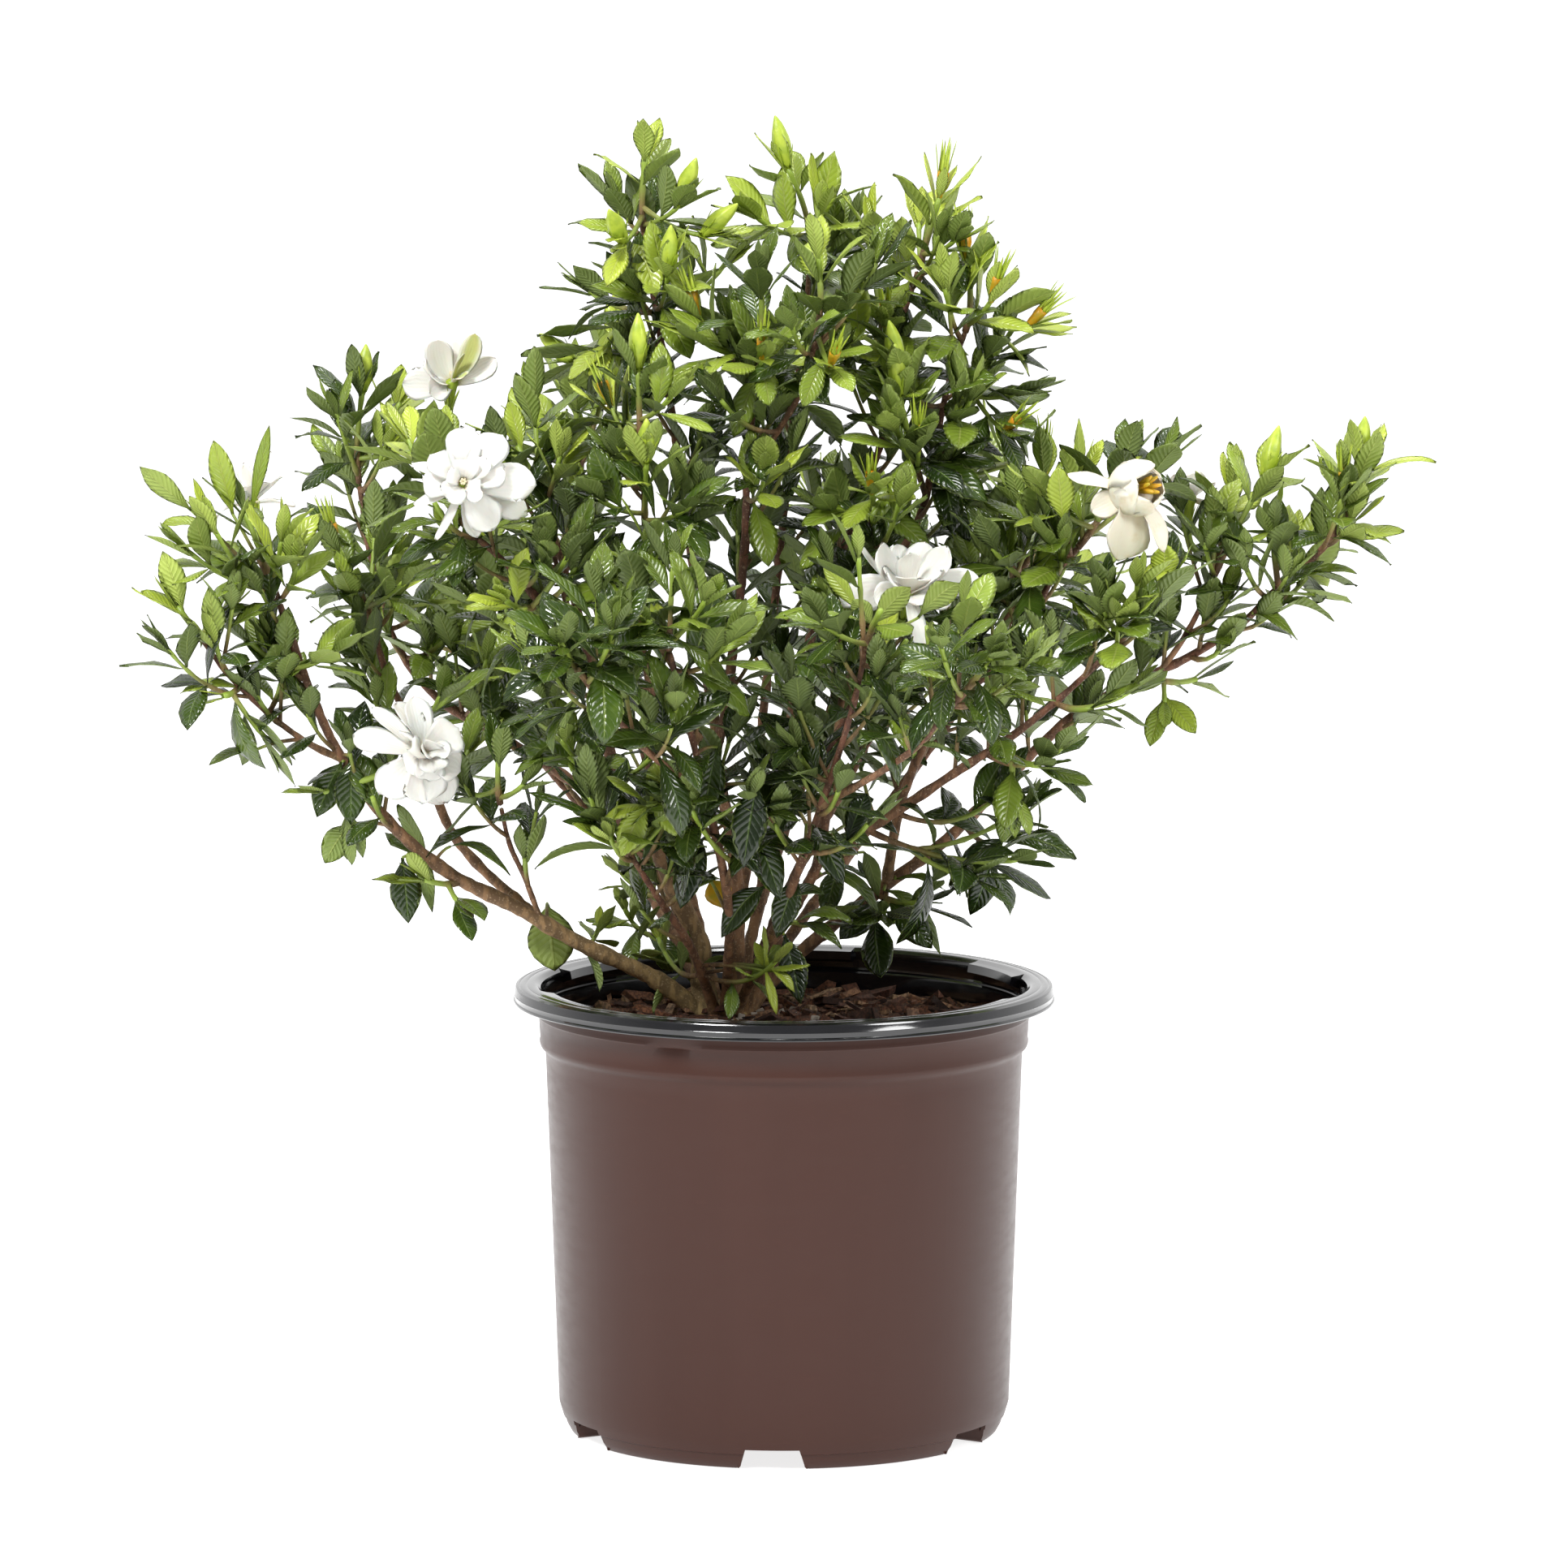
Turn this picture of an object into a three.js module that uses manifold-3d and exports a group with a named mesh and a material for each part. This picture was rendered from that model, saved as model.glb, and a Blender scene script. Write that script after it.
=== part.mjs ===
// A potted gardenia: a black-lipped plastic nursery pot, its soil, and a branching shrub in flower.
// Millimetres, +Z up, the front faces -Y, and the origin is the middle of the pot's foot.
import * as THREE from "three";
import { mergeVertices } from "three/addons/utils/BufferGeometryUtils.js";
import Module from "manifold-3d";

const wasm = await Module();
wasm.setup();

const UP = new THREE.Vector3(0, 0, 1);
const GAP = 0.3; // between pieces that touch
const CLEAR = 0.6; // kept between leaves and everything of another piece
const TOUCH = 1e-4; // an overlap or shortfall too small to count
const LIFT = 0.4; // how far out of its root every shoot, leaf and petal has come at its first section
const LIGHT = new THREE.Vector3(0, -0.6, 0.8); // free leaves turn this way first
const SWINGS = [0, 14, -14, 26, -26]; // degrees

// Helpers

// Places on the shrub are given as they look from the front: [across, height, depth away from the eye].
// The eye stands 4.6 m in front of the pot's axis, and across and height are read on that axis's plane.
const EYE = new THREE.Vector3(0, -4600, 948);
function seen([across, height, depth]) {
  const onAxisPlane = new THREE.Vector3(across, 0, height);
  return onAxisPlane.sub(EYE).multiplyScalar(1 - depth / EYE.y).add(EYE);
}

// The same number between 0 and 1 for the same three whole numbers
function chance(a, b, c) {
  const wave = Math.sin(a * 12.9898 + b * 78.233 + c * 37.719) * 43758.5453;
  return wave - Math.floor(wave);
}

function radians(degrees) {
  return (degrees * Math.PI) / 180;
}

function solid(geometry) {
  geometry.deleteAttribute("normal");
  geometry.deleteAttribute("uv");
  const merged = mergeVertices(geometry, 1e-4);
  const vertProperties = new Float32Array(merged.attributes.position.array);
  const triVerts = new Uint32Array(merged.index.array);
  return new wasm.Manifold(new wasm.Mesh({ numProp: 3, vertProperties, triVerts }));
}

// A solid skin over rings of points; an end ring of one point makes a tip
function loft(rings) {
  const points = rings.flat();
  const faces = [];
  let first = 0;
  for (let i = 0; i + 1 < rings.length; i += 1) {
    const near = rings[i].length;
    const far = rings[i + 1].length;
    const next = first + near;
    for (let k = 0; k < Math.max(near, far); k += 1) {
      const a = first + (k % near);
      const b = first + ((k + 1) % near);
      const c = next + (k % far);
      const d = next + ((k + 1) % far);
      if (near > 1) faces.push([a, b, c]);
      if (far > 1) faces.push([near > 1 ? b : a, d, c]);
    }
    first = next;
  }
  for (let k = 1; k + 1 < rings[0].length; k += 1) faces.push([0, k + 1, k]);
  for (let k = 1; k + 1 < rings.at(-1).length; k += 1) faces.push([first, first + k, first + k + 1]);
  let volume = 0;
  for (const [a, b, c] of faces) {
    volume += points[a].dot(new THREE.Vector3().crossVectors(points[b], points[c]));
  }
  const outward = volume > 0 ? faces : faces.map(([a, b, c]) => [a, c, b]);
  const vertProperties = new Float32Array(points.flatMap((p) => [p.x, p.y, p.z]));
  const triVerts = new Uint32Array(outward.flat());
  return new wasm.Manifold(new wasm.Mesh({ numProp: 3, vertProperties, triVerts }));
}

// The rings of a stem along a curve at the given parts of it; a twist turns its sides by that many
// degrees at each part
function stemRings(curve, parts, thick, thin, sides, twists = []) {
  return parts.map((t, row) => {
    const along = curve.getTangent(t);
    const across = crossways(along).applyAxisAngle(along, radians(twists[row] ?? 0));
    const radius = thick + (thin - thick) * t;
    return Array.from({ length: sides }, (_, k) => {
      const spoke = across.clone().applyAxisAngle(along, (2 * Math.PI * k) / sides);
      return curve.getPoint(t).addScaledVector(spoke, radius);
    });
  });
}

// A steady direction square to the given one
function crossways(along) {
  return new THREE.Vector3(0.3, 1, 0.2).projectOnPlane(along).normalize();
}

function evenly(steps) {
  return Array.from({ length: steps + 1 }, (_, k) => k / steps);
}

// The rings of a leaf or petal: flat above, keeled below, arching back from the way it sets out.
// The outline lists [part of the length, part of the half width]; a last width of 0 makes a tip.
function bladeRings(root, outward, facing, { length, width, keel, arch, cup = 0, outline }) {
  const along = outward.clone().normalize();
  const face = facing.clone().projectOnPlane(along).normalize();
  const side = new THREE.Vector3().crossVectors(along, face);
  const place = root.clone();
  let last = 0;
  return outline.map(([part, spread]) => {
    const turn = -arch * (part - last);
    along.applyAxisAngle(side, turn / 2);
    place.addScaledVector(along, (part - last) * length);
    along.applyAxisAngle(side, turn / 2);
    face.applyAxisAngle(side, turn);
    last = part;
    const half = (spread * width) / 2;
    if (spread === 0) return [place.clone()];
    return [
      place.clone().addScaledVector(side, -half).addScaledVector(face, cup * half),
      place.clone().addScaledVector(side, half).addScaledVector(face, cup * half),
      place.clone().addScaledVector(face, -keel * (0.35 + 0.65 * spread)),
    ];
  });
}

// A closed skin that parts sprout from, each in the place of one of its triangles
class Skin {
  constructor(ring) {
    this.points = [...ring];
    this.faces = ring.slice(2).map((_, k) => [0, k + 2, k + 1]);
    this.edge = ring.map((_, k) => k);
  }

  // Grows the open edge on to a new ring with as many points, twice as many, or one.
  // Gives the new triangles that lie along the new ring, one for each side.
  extend(ring) {
    const from = this.edge.map((k) => this.points[k]);
    const ordered = ring.length < 3 ? ring : matchRing(ring, from);
    const first = this.points.length;
    this.points.push(...ordered);
    const count = from.length;
    const upper = [];
    this.edge.forEach((a, k) => {
      const b = this.edge[(k + 1) % count];
      if (ring.length === 1) {
        this.faces.push([a, b, first]);
      } else if (ring.length === count) {
        const next = first + ((k + 1) % count);
        const low = this.bulges(a, b, next, first + k) ? a : b;
        this.faces.push([a, b, low === a ? next : first + k]);
        upper.push(this.faces.push([low, next, first + k]) - 1);
      } else {
        const next = first + ((2 * k + 2) % ring.length);
        this.faces.push([a, first + 2 * k + 1, first + 2 * k]);
        this.faces.push([a, b, first + 2 * k + 1], [b, next, first + 2 * k + 1]);
      }
    });
    this.edge = ordered.map((_, k) => first + k);
    return upper;
  }

  // Does a four-cornered side bulge outward when it is split from its first corner to its third?
  bulges(...side) {
    const [a, b, c, d] = side.map((k) => this.points[k]);
    return b.clone().sub(a).cross(c.clone().sub(a)).dot(d.clone().sub(a)) <= 0;
  }

  close() {
    if (this.edge.length < 3) return;
    const [first, ...rest] = this.edge;
    rest.slice(1).forEach((_, k) => this.faces.push([first, rest[k], rest[k + 1]]));
  }

  corners(face) {
    return this.faces[face].map((k) => this.points[k]);
  }

  // Opens a triangle and grows rings out of it; a last ring of one point closes itself
  sprout(face, rings) {
    this.edge = this.faces[face];
    this.faces[face] = null;
    return rings.map((ring) => this.extend(ring));
  }

  manifold() {
    const vertProperties = new Float32Array(this.points.flatMap((p) => [p.x, p.y, p.z]));
    const triVerts = new Uint32Array(this.faces.filter((face) => face).flat());
    return new wasm.Manifold(new wasm.Mesh({ numProp: 3, vertProperties, triVerts }));
  }
}

// The solid that rings make when each grows out of the one before
function skinOver([first, ...rings]) {
  const skin = new Skin(first);
  rings.forEach((ring) => skin.extend(ring));
  skin.close();
  return skin.manifold();
}

function middleOf(points) {
  return points.reduce((sum, p) => sum.add(p), new THREE.Vector3()).divideScalar(points.length);
}

// Turns a ring round until it lies against the ring that it grows from without a twist
function matchRing(ring, from) {
  const ahead = middleOf(ring).sub(middleOf(from));
  const third = ring.length / 3;
  const [a, b, c] = [ring[0], ring[Math.floor(third)], ring[Math.floor(2 * third)]];
  const normal = b.clone().sub(a).cross(c.clone().sub(a));
  const ordered = normal.dot(ahead) > 0 ? ring : [...ring].reverse();
  const step = ring.length / from.length;
  const turned = (shift) => ordered.map((_, k) => ordered[(k + shift) % ordered.length]);
  const strain = (shift) => {
    const trial = turned(shift);
    return from.reduce((sum, p, k) => sum + p.distanceTo(trial[k * step]), 0);
  };
  const shifts = ordered.map((_, k) => k);
  return turned(shifts.reduce((best, k) => (strain(k) < strain(best) ? k : best)));
}

function fuse(solids) {
  return wasm.Manifold.union(solids);
}

// Keeps the biggest body and fills hollows that fusing sealed
function oneBody(manifold) {
  return manifold.decompose().reduce((best, piece) => (piece.volume() > best.volume() ? piece : best));
}

function mesh(name, manifold, colour, roughness) {
  const { vertProperties, triVerts } = manifold.getMesh();
  const geometry = new THREE.BufferGeometry();
  geometry.setAttribute("position", new THREE.BufferAttribute(new Float32Array(vertProperties), 3));
  geometry.setIndex(new THREE.BufferAttribute(new Uint32Array(triVerts), 1));
  geometry.computeVertexNormals();
  const material = new THREE.MeshStandardMaterial({ color: colour, roughness, metalness: 0 });
  const part = new THREE.Mesh(geometry, material);
  part.name = name;
  return part;
}

// The pot

const POT_SIDES = 36;
const WALL = 1.8;
const SIXTH = 60; // degrees between drain channels, drain holes and stacking lugs
const CHANNEL = { width: 31, height: 11, from: 62, reach: 130, turn: -93 }; // from and reach are radii
const LUG = { angle: 24, turn: 25, low: 236, high: 242.5, depth: 5, rim: 131, sunk: 1.2, slope: 2 };
const DRAIN = { radius: 6, ring: 88, sides: 6 };

// Half of the pot cut through its axis: [radius, height]
const OUTSIDE = [
  [116, 0], [119.9, 8], [122.2, 15.5],
  [129.1, 208], [132, 212], [133.2, 228], [133.4, 237],
];
const LIP = [[144.4, 237.5], [144.4, 234.7], [146.3, 234.7], [145.8, 241.5], [142, 244], [133.5, 244]];
const INSIDE = [
  [131.2, 240.5], [131.2, 232.5], [129.4, 230.5], [127.2, 208], [119.4, 13.8], [117.4, 8.5], [114.3, WALL],
];

function turned(half, sides) {
  const profile = half.map(([r, z]) => new THREE.Vector2(r, z));
  return solid(new THREE.LatheGeometry(profile, sides).rotateX(Math.PI / 2));
}

// Six copies of a piece round the pot's axis, the first at the given angle
function sixTimes(first, makePiece) {
  return Array.from({ length: 6 }, (_, k) => makePiece(first + SIXTH * k));
}

function pot() {
  const shell = turned([[0, 0], ...OUTSIDE, ...LIP, ...INSIDE, [0, WALL]], POT_SIDES);
  const foot = OUTSIDE.slice(0, 3).map(([radius, z]) => [radius - WALL / 3, z + GAP]);
  const insideFoot = turned([[0, GAP], ...foot, [0, foot[2][1]]], POT_SIDES);
  const ridges = fuse(channels(WALL)).intersect(insideFoot);
  const cuts = [...channels(0), ...sixTimes(CHANNEL.turn, drainHole)];
  return fuse([shell, ridges, ...sixTimes(LUG.turn, lug)]).subtract(fuse(cuts));
}

// The drain channels that run in under the floor between the feet, each as a block bigger all round by skin
function channels(skin) {
  const from = CHANNEL.from - skin;
  const size = [CHANNEL.reach - from, CHANNEL.width + 2 * skin, 2 * (CHANNEL.height + skin)];
  return sixTimes(CHANNEL.turn, (angle) => {
    const block = new THREE.BoxGeometry(...size).translate((CHANNEL.reach + from) / 2, 0, 0);
    return solid(block.rotateZ(radians(angle)));
  });
}

function drainHole(angle) {
  const hole = new THREE.CylinderGeometry(DRAIN.radius, DRAIN.radius, 4 * WALL, DRAIN.sides);
  hole.rotateX(Math.PI / 2).translate(DRAIN.ring, 0, CHANNEL.height + WALL / 2);
  return solid(hole.rotateZ(radians(angle)));
}

// A stacking lug: a block on the inside of the rim, its underside sloping back to the wall
function lug(middle) {
  const section = (angle) => [
    [LUG.rim + LUG.sunk, LUG.low], [LUG.rim - LUG.depth, LUG.low + LUG.slope],
    [LUG.rim - LUG.depth + 1, LUG.high], [LUG.rim + LUG.sunk, LUG.high],
  ].map(([radius, z]) => new THREE.Vector3(radius, 0, z).applyAxisAngle(UP, radians(angle)));
  return loft([section(middle - LUG.angle / 2), section(middle), section(middle + LUG.angle / 2)]);
}

// The soil

const SOIL_TOP = 221;
const MOUND = 1; // the soil is this much higher in the middle and lower at the wall
const CROWN = [-32, 233, 18]; // where the stems leave the soil, as seen
const CROWN_RISE = 6; // of the root stock above the soil
const CROWN_HOLE = { radius: 19, floor: 160, taper: 0.8, sides: 8 };
const CHIPS = { count: 22, reach: 116, length: [9, 13], width: [4, 5], height: [2.5, 2], slant: 0.35 };
const GOLDEN_ANGLE = 2.39996;

function soil() {
  const floor = WALL + GAP;
  const wall = INSIDE.slice(3).reverse().map(([radius, z]) => [radius - GAP, Math.max(z, floor)]);
  const [ledgeRadius] = INSIDE[3];
  const body = turned([
    [0, floor], ...wall,
    [ledgeRadius + 1.1 - GAP, SOIL_TOP - MOUND],
    [ledgeRadius * 0.55, SOIL_TOP + MOUND], [0, SOIL_TOP + MOUND],
  ], POT_SIDES);
  const chips = Array.from({ length: CHIPS.count }, (_, k) => barkChip(k));
  const hole = crownPlug(CROWN_HOLE.radius + GAP, CROWN_HOLE.floor - GAP);
  return oneBody(fuse([body, ...chips]).subtract(fuse([hole, ...channels(WALL + GAP)])));
}

// Bark chips are spread evenly by the golden angle, and each lies at its own slant
function barkChip(k) {
  const draw = (number) => chance(k, number, 5);
  const spans = [CHIPS.length, CHIPS.width, CHIPS.height];
  const size = spans.map(([least, more], row) => least + more * draw(row + 1));
  const chip = new THREE.CylinderGeometry(0.55, 0.45, 1, 4).rotateX(Math.PI / 2).scale(...size);
  chip.rotateY(CHIPS.slant * (draw(4) - 0.5)).rotateZ(2 * Math.PI * draw(5));
  const spot = new THREE.Vector3(CHIPS.reach * Math.sqrt((k + 0.5) / CHIPS.count), 0, 0);
  spot.applyAxisAngle(UP, k * GOLDEN_ANGLE);
  return solid(chip.translate(spot.x, spot.y, SOIL_TOP + MOUND + 0.8 * draw(6)));
}

// The root stock as a plain peg; the hole for it is a bigger one
function crownPlug(radius, floor) {
  const centre = seen(CROWN);
  const height = SOIL_TOP + 40 - floor;
  const peg = new THREE.CylinderGeometry(radius, radius * CROWN_HOLE.taper, height, CROWN_HOLE.sides);
  return solid(peg.rotateX(Math.PI / 2).translate(centre.x, centre.y, floor + height / 2));
}

// The woody limbs

// Each limb starts at the crown or on another limb ([name, number of its point]) and runs through
// the listed places. Its radius goes from the first to the second number.
const LIMBS = {
  left: { radius: [4.6, 1.8],
    way: [[-72, 247, 5], [-110, 265, -8], [-145, 285, -18], [-180, 303, -28], [-212, 330, -36],
      [-236, 362, -42], [-251, 392, -45], [-263, 425, -46], [-272, 452, -46]] },
  farLeft: { fork: ["left", 6.1], radius: [1.8, 1.3],
    way: [[-256, 374, -50], [-275, 388, -56], [-297, 409, -62], [-313, 430, -66]] },
  leftInner: { fork: ["left", 2.5], radius: [3, 1.6],
    way: [[-148, 292, -2], [-166, 309, 8], [-180, 327, 16], [-190, 352, 22], [-202, 385, 26],
      [-214, 412, 28], [-222, 440, 28]] },
  leftTwig: { fork: ["left", 2.6], radius: [1.6, 1.1],
    way: [[-140, 301, -26], [-148, 319, -30], [-153, 341, -33]] },
  backLeft: { radius: [4, 1.5],
    way: [[-56, 282, 55], [-80, 318, 82], [-110, 350, 102], [-150, 376, 118], [-188, 400, 128],
      [-212, 435, 134], [-222, 475, 136], [-228, 515, 132]] },
  trunkLeft: { radius: [5.8, 1.5],
    way: [[-46, 264, 14], [-57, 290, 8], [-70, 320, 2], [-88, 350, -4], [-97, 382, -8],
      [-103, 412, -10], [-112, 450, -12], [-122, 480, -14]] },
  middle: { radius: [5.2, 1.5],
    way: [[-25, 280, 4], [-28, 320, -3], [-34, 350, -7], [-37, 368, -8], [-31, 392, -7],
      [-28, 420, -5], [-24, 450, -3], [-21, 482, -1], [-20, 516, 1], [-17, 550, 2],
      [-14, 575, 2]] },
  diagonal: { fork: ["middle", 4], radius: [3.4, 1.5],
    way: [[-53, 384, -18], [-68, 399, -28], [-90, 417, -38], [-112, 436, -46], [-132, 452, -52],
      [-152, 474, -56], [-166, 486, -58]] },
  leftRiser: { fork: ["diagonal", 2.2], radius: [2, 1.3],
    way: [[-76, 428, -42], [-76, 460, -48], [-75, 500, -50], [-77, 540, -50]] },
  leftFork: { fork: ["diagonal", 4.1], radius: [1.6, 1.2],
    way: [[-119, 458, -40], [-125, 482, -36], [-130, 503, -34]] },
  highLeft: { fork: ["middle", 4.3], radius: [3, 1.4],
    way: [[-44, 430, 28], [-50, 480, 40], [-57, 530, 45], [-64, 580, 45], [-71, 622, 42],
      [-75, 650, 40]] },
  centreFork: { fork: ["middle", 9], radius: [1.8, 1.3],
    way: [[-10, 532, -6], [0, 548, -14], [10, 566, -20], [17, 592, -24]] },
  rightCentre: { radius: [3.9, 1.5],
    way: [[-8, 262, 8], [6, 286, 2], [18, 308, -4], [22, 331, -10], [22, 358, -16], [28, 377, -20],
      [38, 397, -25], [48, 417, -30], [51, 436, -32]] },
  rightInner: { fork: ["rightCentre", 6], radius: [1.8, 1.2],
    way: [[31, 397, -10], [36, 425, -2], [42, 455, 4], [46, 485, 0]] },
  rightLow: { radius: [3.9, 1.5],
    way: [[-2, 250, 26], [25, 274, 36], [55, 297, 46], [88, 322, 56], [112, 346, 62],
      [135, 370, 66], [160, 392, 68], [190, 408, 66], [216, 420, 64], [245, 438, 62],
      [262, 455, 60], [282, 472, 58], [298, 489, 56]] },
  rightRise: { fork: ["rightLow", 8.5], radius: [1.8, 1.3],
    way: [[215, 431, 58], [224, 448, 54], [230, 462, 52]] },
  rightMain: { fork: ["rightCentre", 3.4], radius: [3.2, 1.4],
    way: [[42, 326, -20], [68, 342, -30], [95, 360, -38], [120, 376, -43], [142, 393, -46],
      [160, 409, -47], [178, 426, -47]] },
  rightBack: { radius: [3.4, 1.4],
    way: [[5, 300, 62], [32, 350, 86], [55, 393, 96], [80, 422, 98], [108, 447, 96],
      [126, 466, 92]] },
  rightMid: { fork: ["rightLow", 3], radius: [3, 1.4],
    way: [[64, 345, 28], [84, 390, 12], [104, 407, 4], [122, 421, 0], [133, 440, -5],
      [144, 463, -8], [158, 480, -11]] },
  highRight: { radius: [3.8, 1.4],
    way: [[-8, 320, 50], [4, 390, 66], [20, 450, 68], [40, 500, 64], [54, 545, 60], [60, 590, 56],
      [72, 630, 50]] },
  highRightFork: { fork: ["highRight", 2.2], radius: [2.8, 1.4],
    way: [[28, 425, 45], [55, 465, 38], [74, 500, 34], [82, 540, 32], [89, 572, 31],
      [97, 596, 30]] },
  centreBack: { radius: [3.8, 1.4],
    way: [[-18, 330, 85], [-8, 420, 108], [0, 500, 114], [6, 560, 112], [12, 610, 106],
      [14, 640, 100]] },
  backLimbA: { radius: [3.8, 1.5],
    way: [[-58, 320, 110], [-85, 395, 155], [-104, 460, 172], [-112, 520, 170]] },
  backLimbB: { radius: [3.8, 1.5],
    way: [[-5, 310, 135], [24, 390, 190], [40, 460, 212]] },
  backLimbC: { radius: [3.6, 1.5],
    way: [[40, 320, 128], [92, 390, 172], [124, 450, 188]] },
  backLimbD: { radius: [3.6, 1.5],
    way: [[-84, 310, 125], [-135, 370, 178], [-168, 425, 200]] },
  frontLimbA: { radius: [3, 1.3],
    way: [[-50, 262, -25], [-68, 290, -56], [-82, 312, -78]] },
  frontLimbB: { radius: [3.4, 1.4],
    way: [[-30, 285, -50], [-42, 345, -95], [-54, 395, -125], [-62, 425, -138]] },
  frontLimbC: { radius: [3.4, 1.4],
    way: [[0, 285, -45], [20, 340, -95], [36, 390, -130], [44, 425, -146]] },
  frontLimbD: { fork: ["frontLimbB", 2], radius: [2.2, 1.3],
    way: [[-76, 372, -145], [-104, 405, -178]] },
  frontLimbE: { fork: ["frontLimbC", 2], radius: [2.2, 1.3],
    way: [[66, 368, -145], [94, 398, -178]] },
};

const limbCurves = {};

function limbPlace(name, number) {
  const curve = limbCurves[name];
  return curve.getPoint(number / (curve.points.length - 1));
}

// Where a limb starts inside the root stock, on the side that it leaves by
function crownSpot(next) {
  const centre = seen(CROWN);
  const spot = next.clone().sub(centre).setZ(0).setLength(CROWN_HOLE.radius * 0.6).add(centre);
  return spot.setZ(SOIL_TOP + CROWN_RISE / 2);
}

function drawLimbs() {
  for (const [name, { fork, way }] of Object.entries(LIMBS)) {
    const start = fork ? limbPlace(...fork) : crownSpot(seen(way[0]));
    limbCurves[name] = new THREE.CatmullRomCurve3([start, ...way.map(seen)], false, "catmullrom");
  }
}

// The green sprays

const BUD = "bud";
const TUFT = "tuft";
const END = 99; // a spray that carries on from the end of its limb

// Each spray of green shoots grows on a limb near the numbered point, or carries on from its end.
// Its tips are seen places, with what stands at the tip where that is a flower bud or a spent flower.
const SPRAYS = {
  topLeft: ["highLeft", END, [-74, 690, 38], [-56, 664, 18, BUD], [-86, 644, 10, BUD], [-44, 648, 26, BUD]],
  columnLeft: ["highLeft", 4.6, [-104, 618, 62], [-112, 580, 74, BUD], [-95, 588, 34]],
  riserTop: ["leftRiser", END, [-78, 576, -52, BUD], [-93, 556, -36, TUFT], [-60, 562, -68]],
  riserLow: ["leftRiser", 2.6, [-74, 526, -86, BUD], [-50, 503, -94], [-99, 506, -80]],
  leftTop: ["leftFork", END, [-143, 535, -28], [-134, 560, -16]],
  centreTop: ["centreBack", END, [2, 684, 94, BUD], [20, 662, 74], [-15, 658, 62]],
  centreUpper: ["middle", END, [-12, 628, -8], [-12, 582, -42, TUFT], [-42, 590, -18]],
  centreRight: ["centreFork", END, [18, 638, -26], [25, 578, -58, TUFT]],
  upperMid: ["highRight", 5.4, [46, 652, 76], [54, 600, 22, TUFT], [36, 592, 2]],
  topRight: ["highRight", END, [83, 668, 46, TUFT], [72, 654, 70], [92, 646, 22]],
  columnRight: ["highRightFork", END, [98, 634, 34, TUFT], [111, 613, 14, TUFT], [129, 598, 26, TUFT]],
  sideRight: ["highRightFork", 4.4, [116, 588, 46], [124, 563, 28], [118, 543, 12, TUFT]],
  midRight: ["highRightFork", 3.2, [62, 562, -12, BUD], [72, 533, -26, TUFT], [104, 520, 34]],
  centreSpray: ["rightInner", END, [47, 510, -42, TUFT], [24, 500, -22]],
  underBloom: ["rightCentre", END, [88, 432, -60], [28, 452, -62]],
  rightGroup: ["rightMid", END, [186, 530, 14], [160, 520, -4], [203, 526, 8], [140, 508, -34]],
  rightGroupBack: ["rightBack", END, [140, 520, 88, TUFT], [118, 535, 98], [158, 498, 106]],
  riseTop: ["rightRise", END, [258, 518, 60, BUD], [226, 482, 30]],
  farRight: ["rightLow", END, [301, 519, 50], [300, 508, 48, TUFT], [309, 526, 66, BUD]],
  rightOuter: ["rightLow", 11.2, [262, 488, 46], [277, 482, 80]],
  rightUnder: ["rightLow", 8.2, [222, 409, 80], [205, 396, 60]],
  rightGreen: ["rightMain", END, [190, 460, -64], [207, 462, -42], [172, 446, -78]],
  rightArch: ["rightMain", 5.2, [166, 393, -66], [186, 402, -50]],
  rightDroop: ["rightMain", 3.8, [138, 362, -62], [124, 344, -54]],
  rightThin: ["rightMain", 1.1, [126, 311, -46], [104, 302, -58], [128, 338, -28]],
  rightFoot: ["rightLow", 2.8, [72, 288, 30], [40, 276, 12]],
  bloomLeft: ["diagonal", END, [-182, 536, -42], [-202, 538, -30], [-146, 496, -84]],
  leftFront: ["diagonal", 4.9, [-150, 452, -96], [-116, 476, -88]],
  backLeftTop: ["backLeft", END, [-226, 564, 130, BUD], [-240, 552, 118], [-206, 558, 150]],
  innerLeft: ["leftInner", END, [-240, 480, 20, TUFT], [-220, 488, 44], [-204, 462, 8]],
  leftEnd: ["left", END, [-290, 500, -40], [-320, 478, -62], [-270, 484, -60]],
  leftMiddle: ["left", 7.5, [-288, 430, -50], [-242, 424, -64]],
  farLeftEnd: ["farLeft", END, [-326, 448, -68], [-303, 442, -56]],
  farLeftMid: ["farLeft", 2.8, [-302, 400, -72], [-280, 378, -60]],
  leftHang: ["left", 5.7, [-248, 348, -50], [-236, 334, -42]],
  leftLow: ["left", 3.8, [-194, 300, -38], [-176, 288, -44]],
  twigTop: ["leftTwig", END, [-154, 364, -36], [-140, 352, -46], [-168, 346, -26]],
  trunkMid: ["trunkLeft", 3.9, [-120, 376, -56], [-72, 366, -48]],
  frontLow: ["frontLimbA", END, [-90, 326, -100], [-66, 330, -98]],
  frontMiddle: ["frontLimbB", END, [-74, 440, -162], [-42, 452, -168]],
  frontRight: ["frontLimbC", END, [52, 446, -172], [20, 440, -170]],
  frontHang: ["frontLimbB", 1.2, [-18, 346, -112], [-50, 338, -118]],
  frontSideLeft: ["frontLimbD", END, [-120, 428, -222], [-92, 436, -226]],
  frontSideRight: ["frontLimbE", END, [112, 422, -220], [84, 428, -228]],
  backTop: ["backLimbA", END, [-108, 568, 168], [-134, 540, 184], [-90, 560, 200]],
  backMiddle: ["backLimbB", END, [46, 502, 222], [16, 506, 226]],
  backRight: ["backLimbC", END, [138, 488, 206], [160, 462, 214]],
  backLeft: ["backLimbD", END, [-180, 466, 208], [-152, 462, 218]],
};

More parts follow.
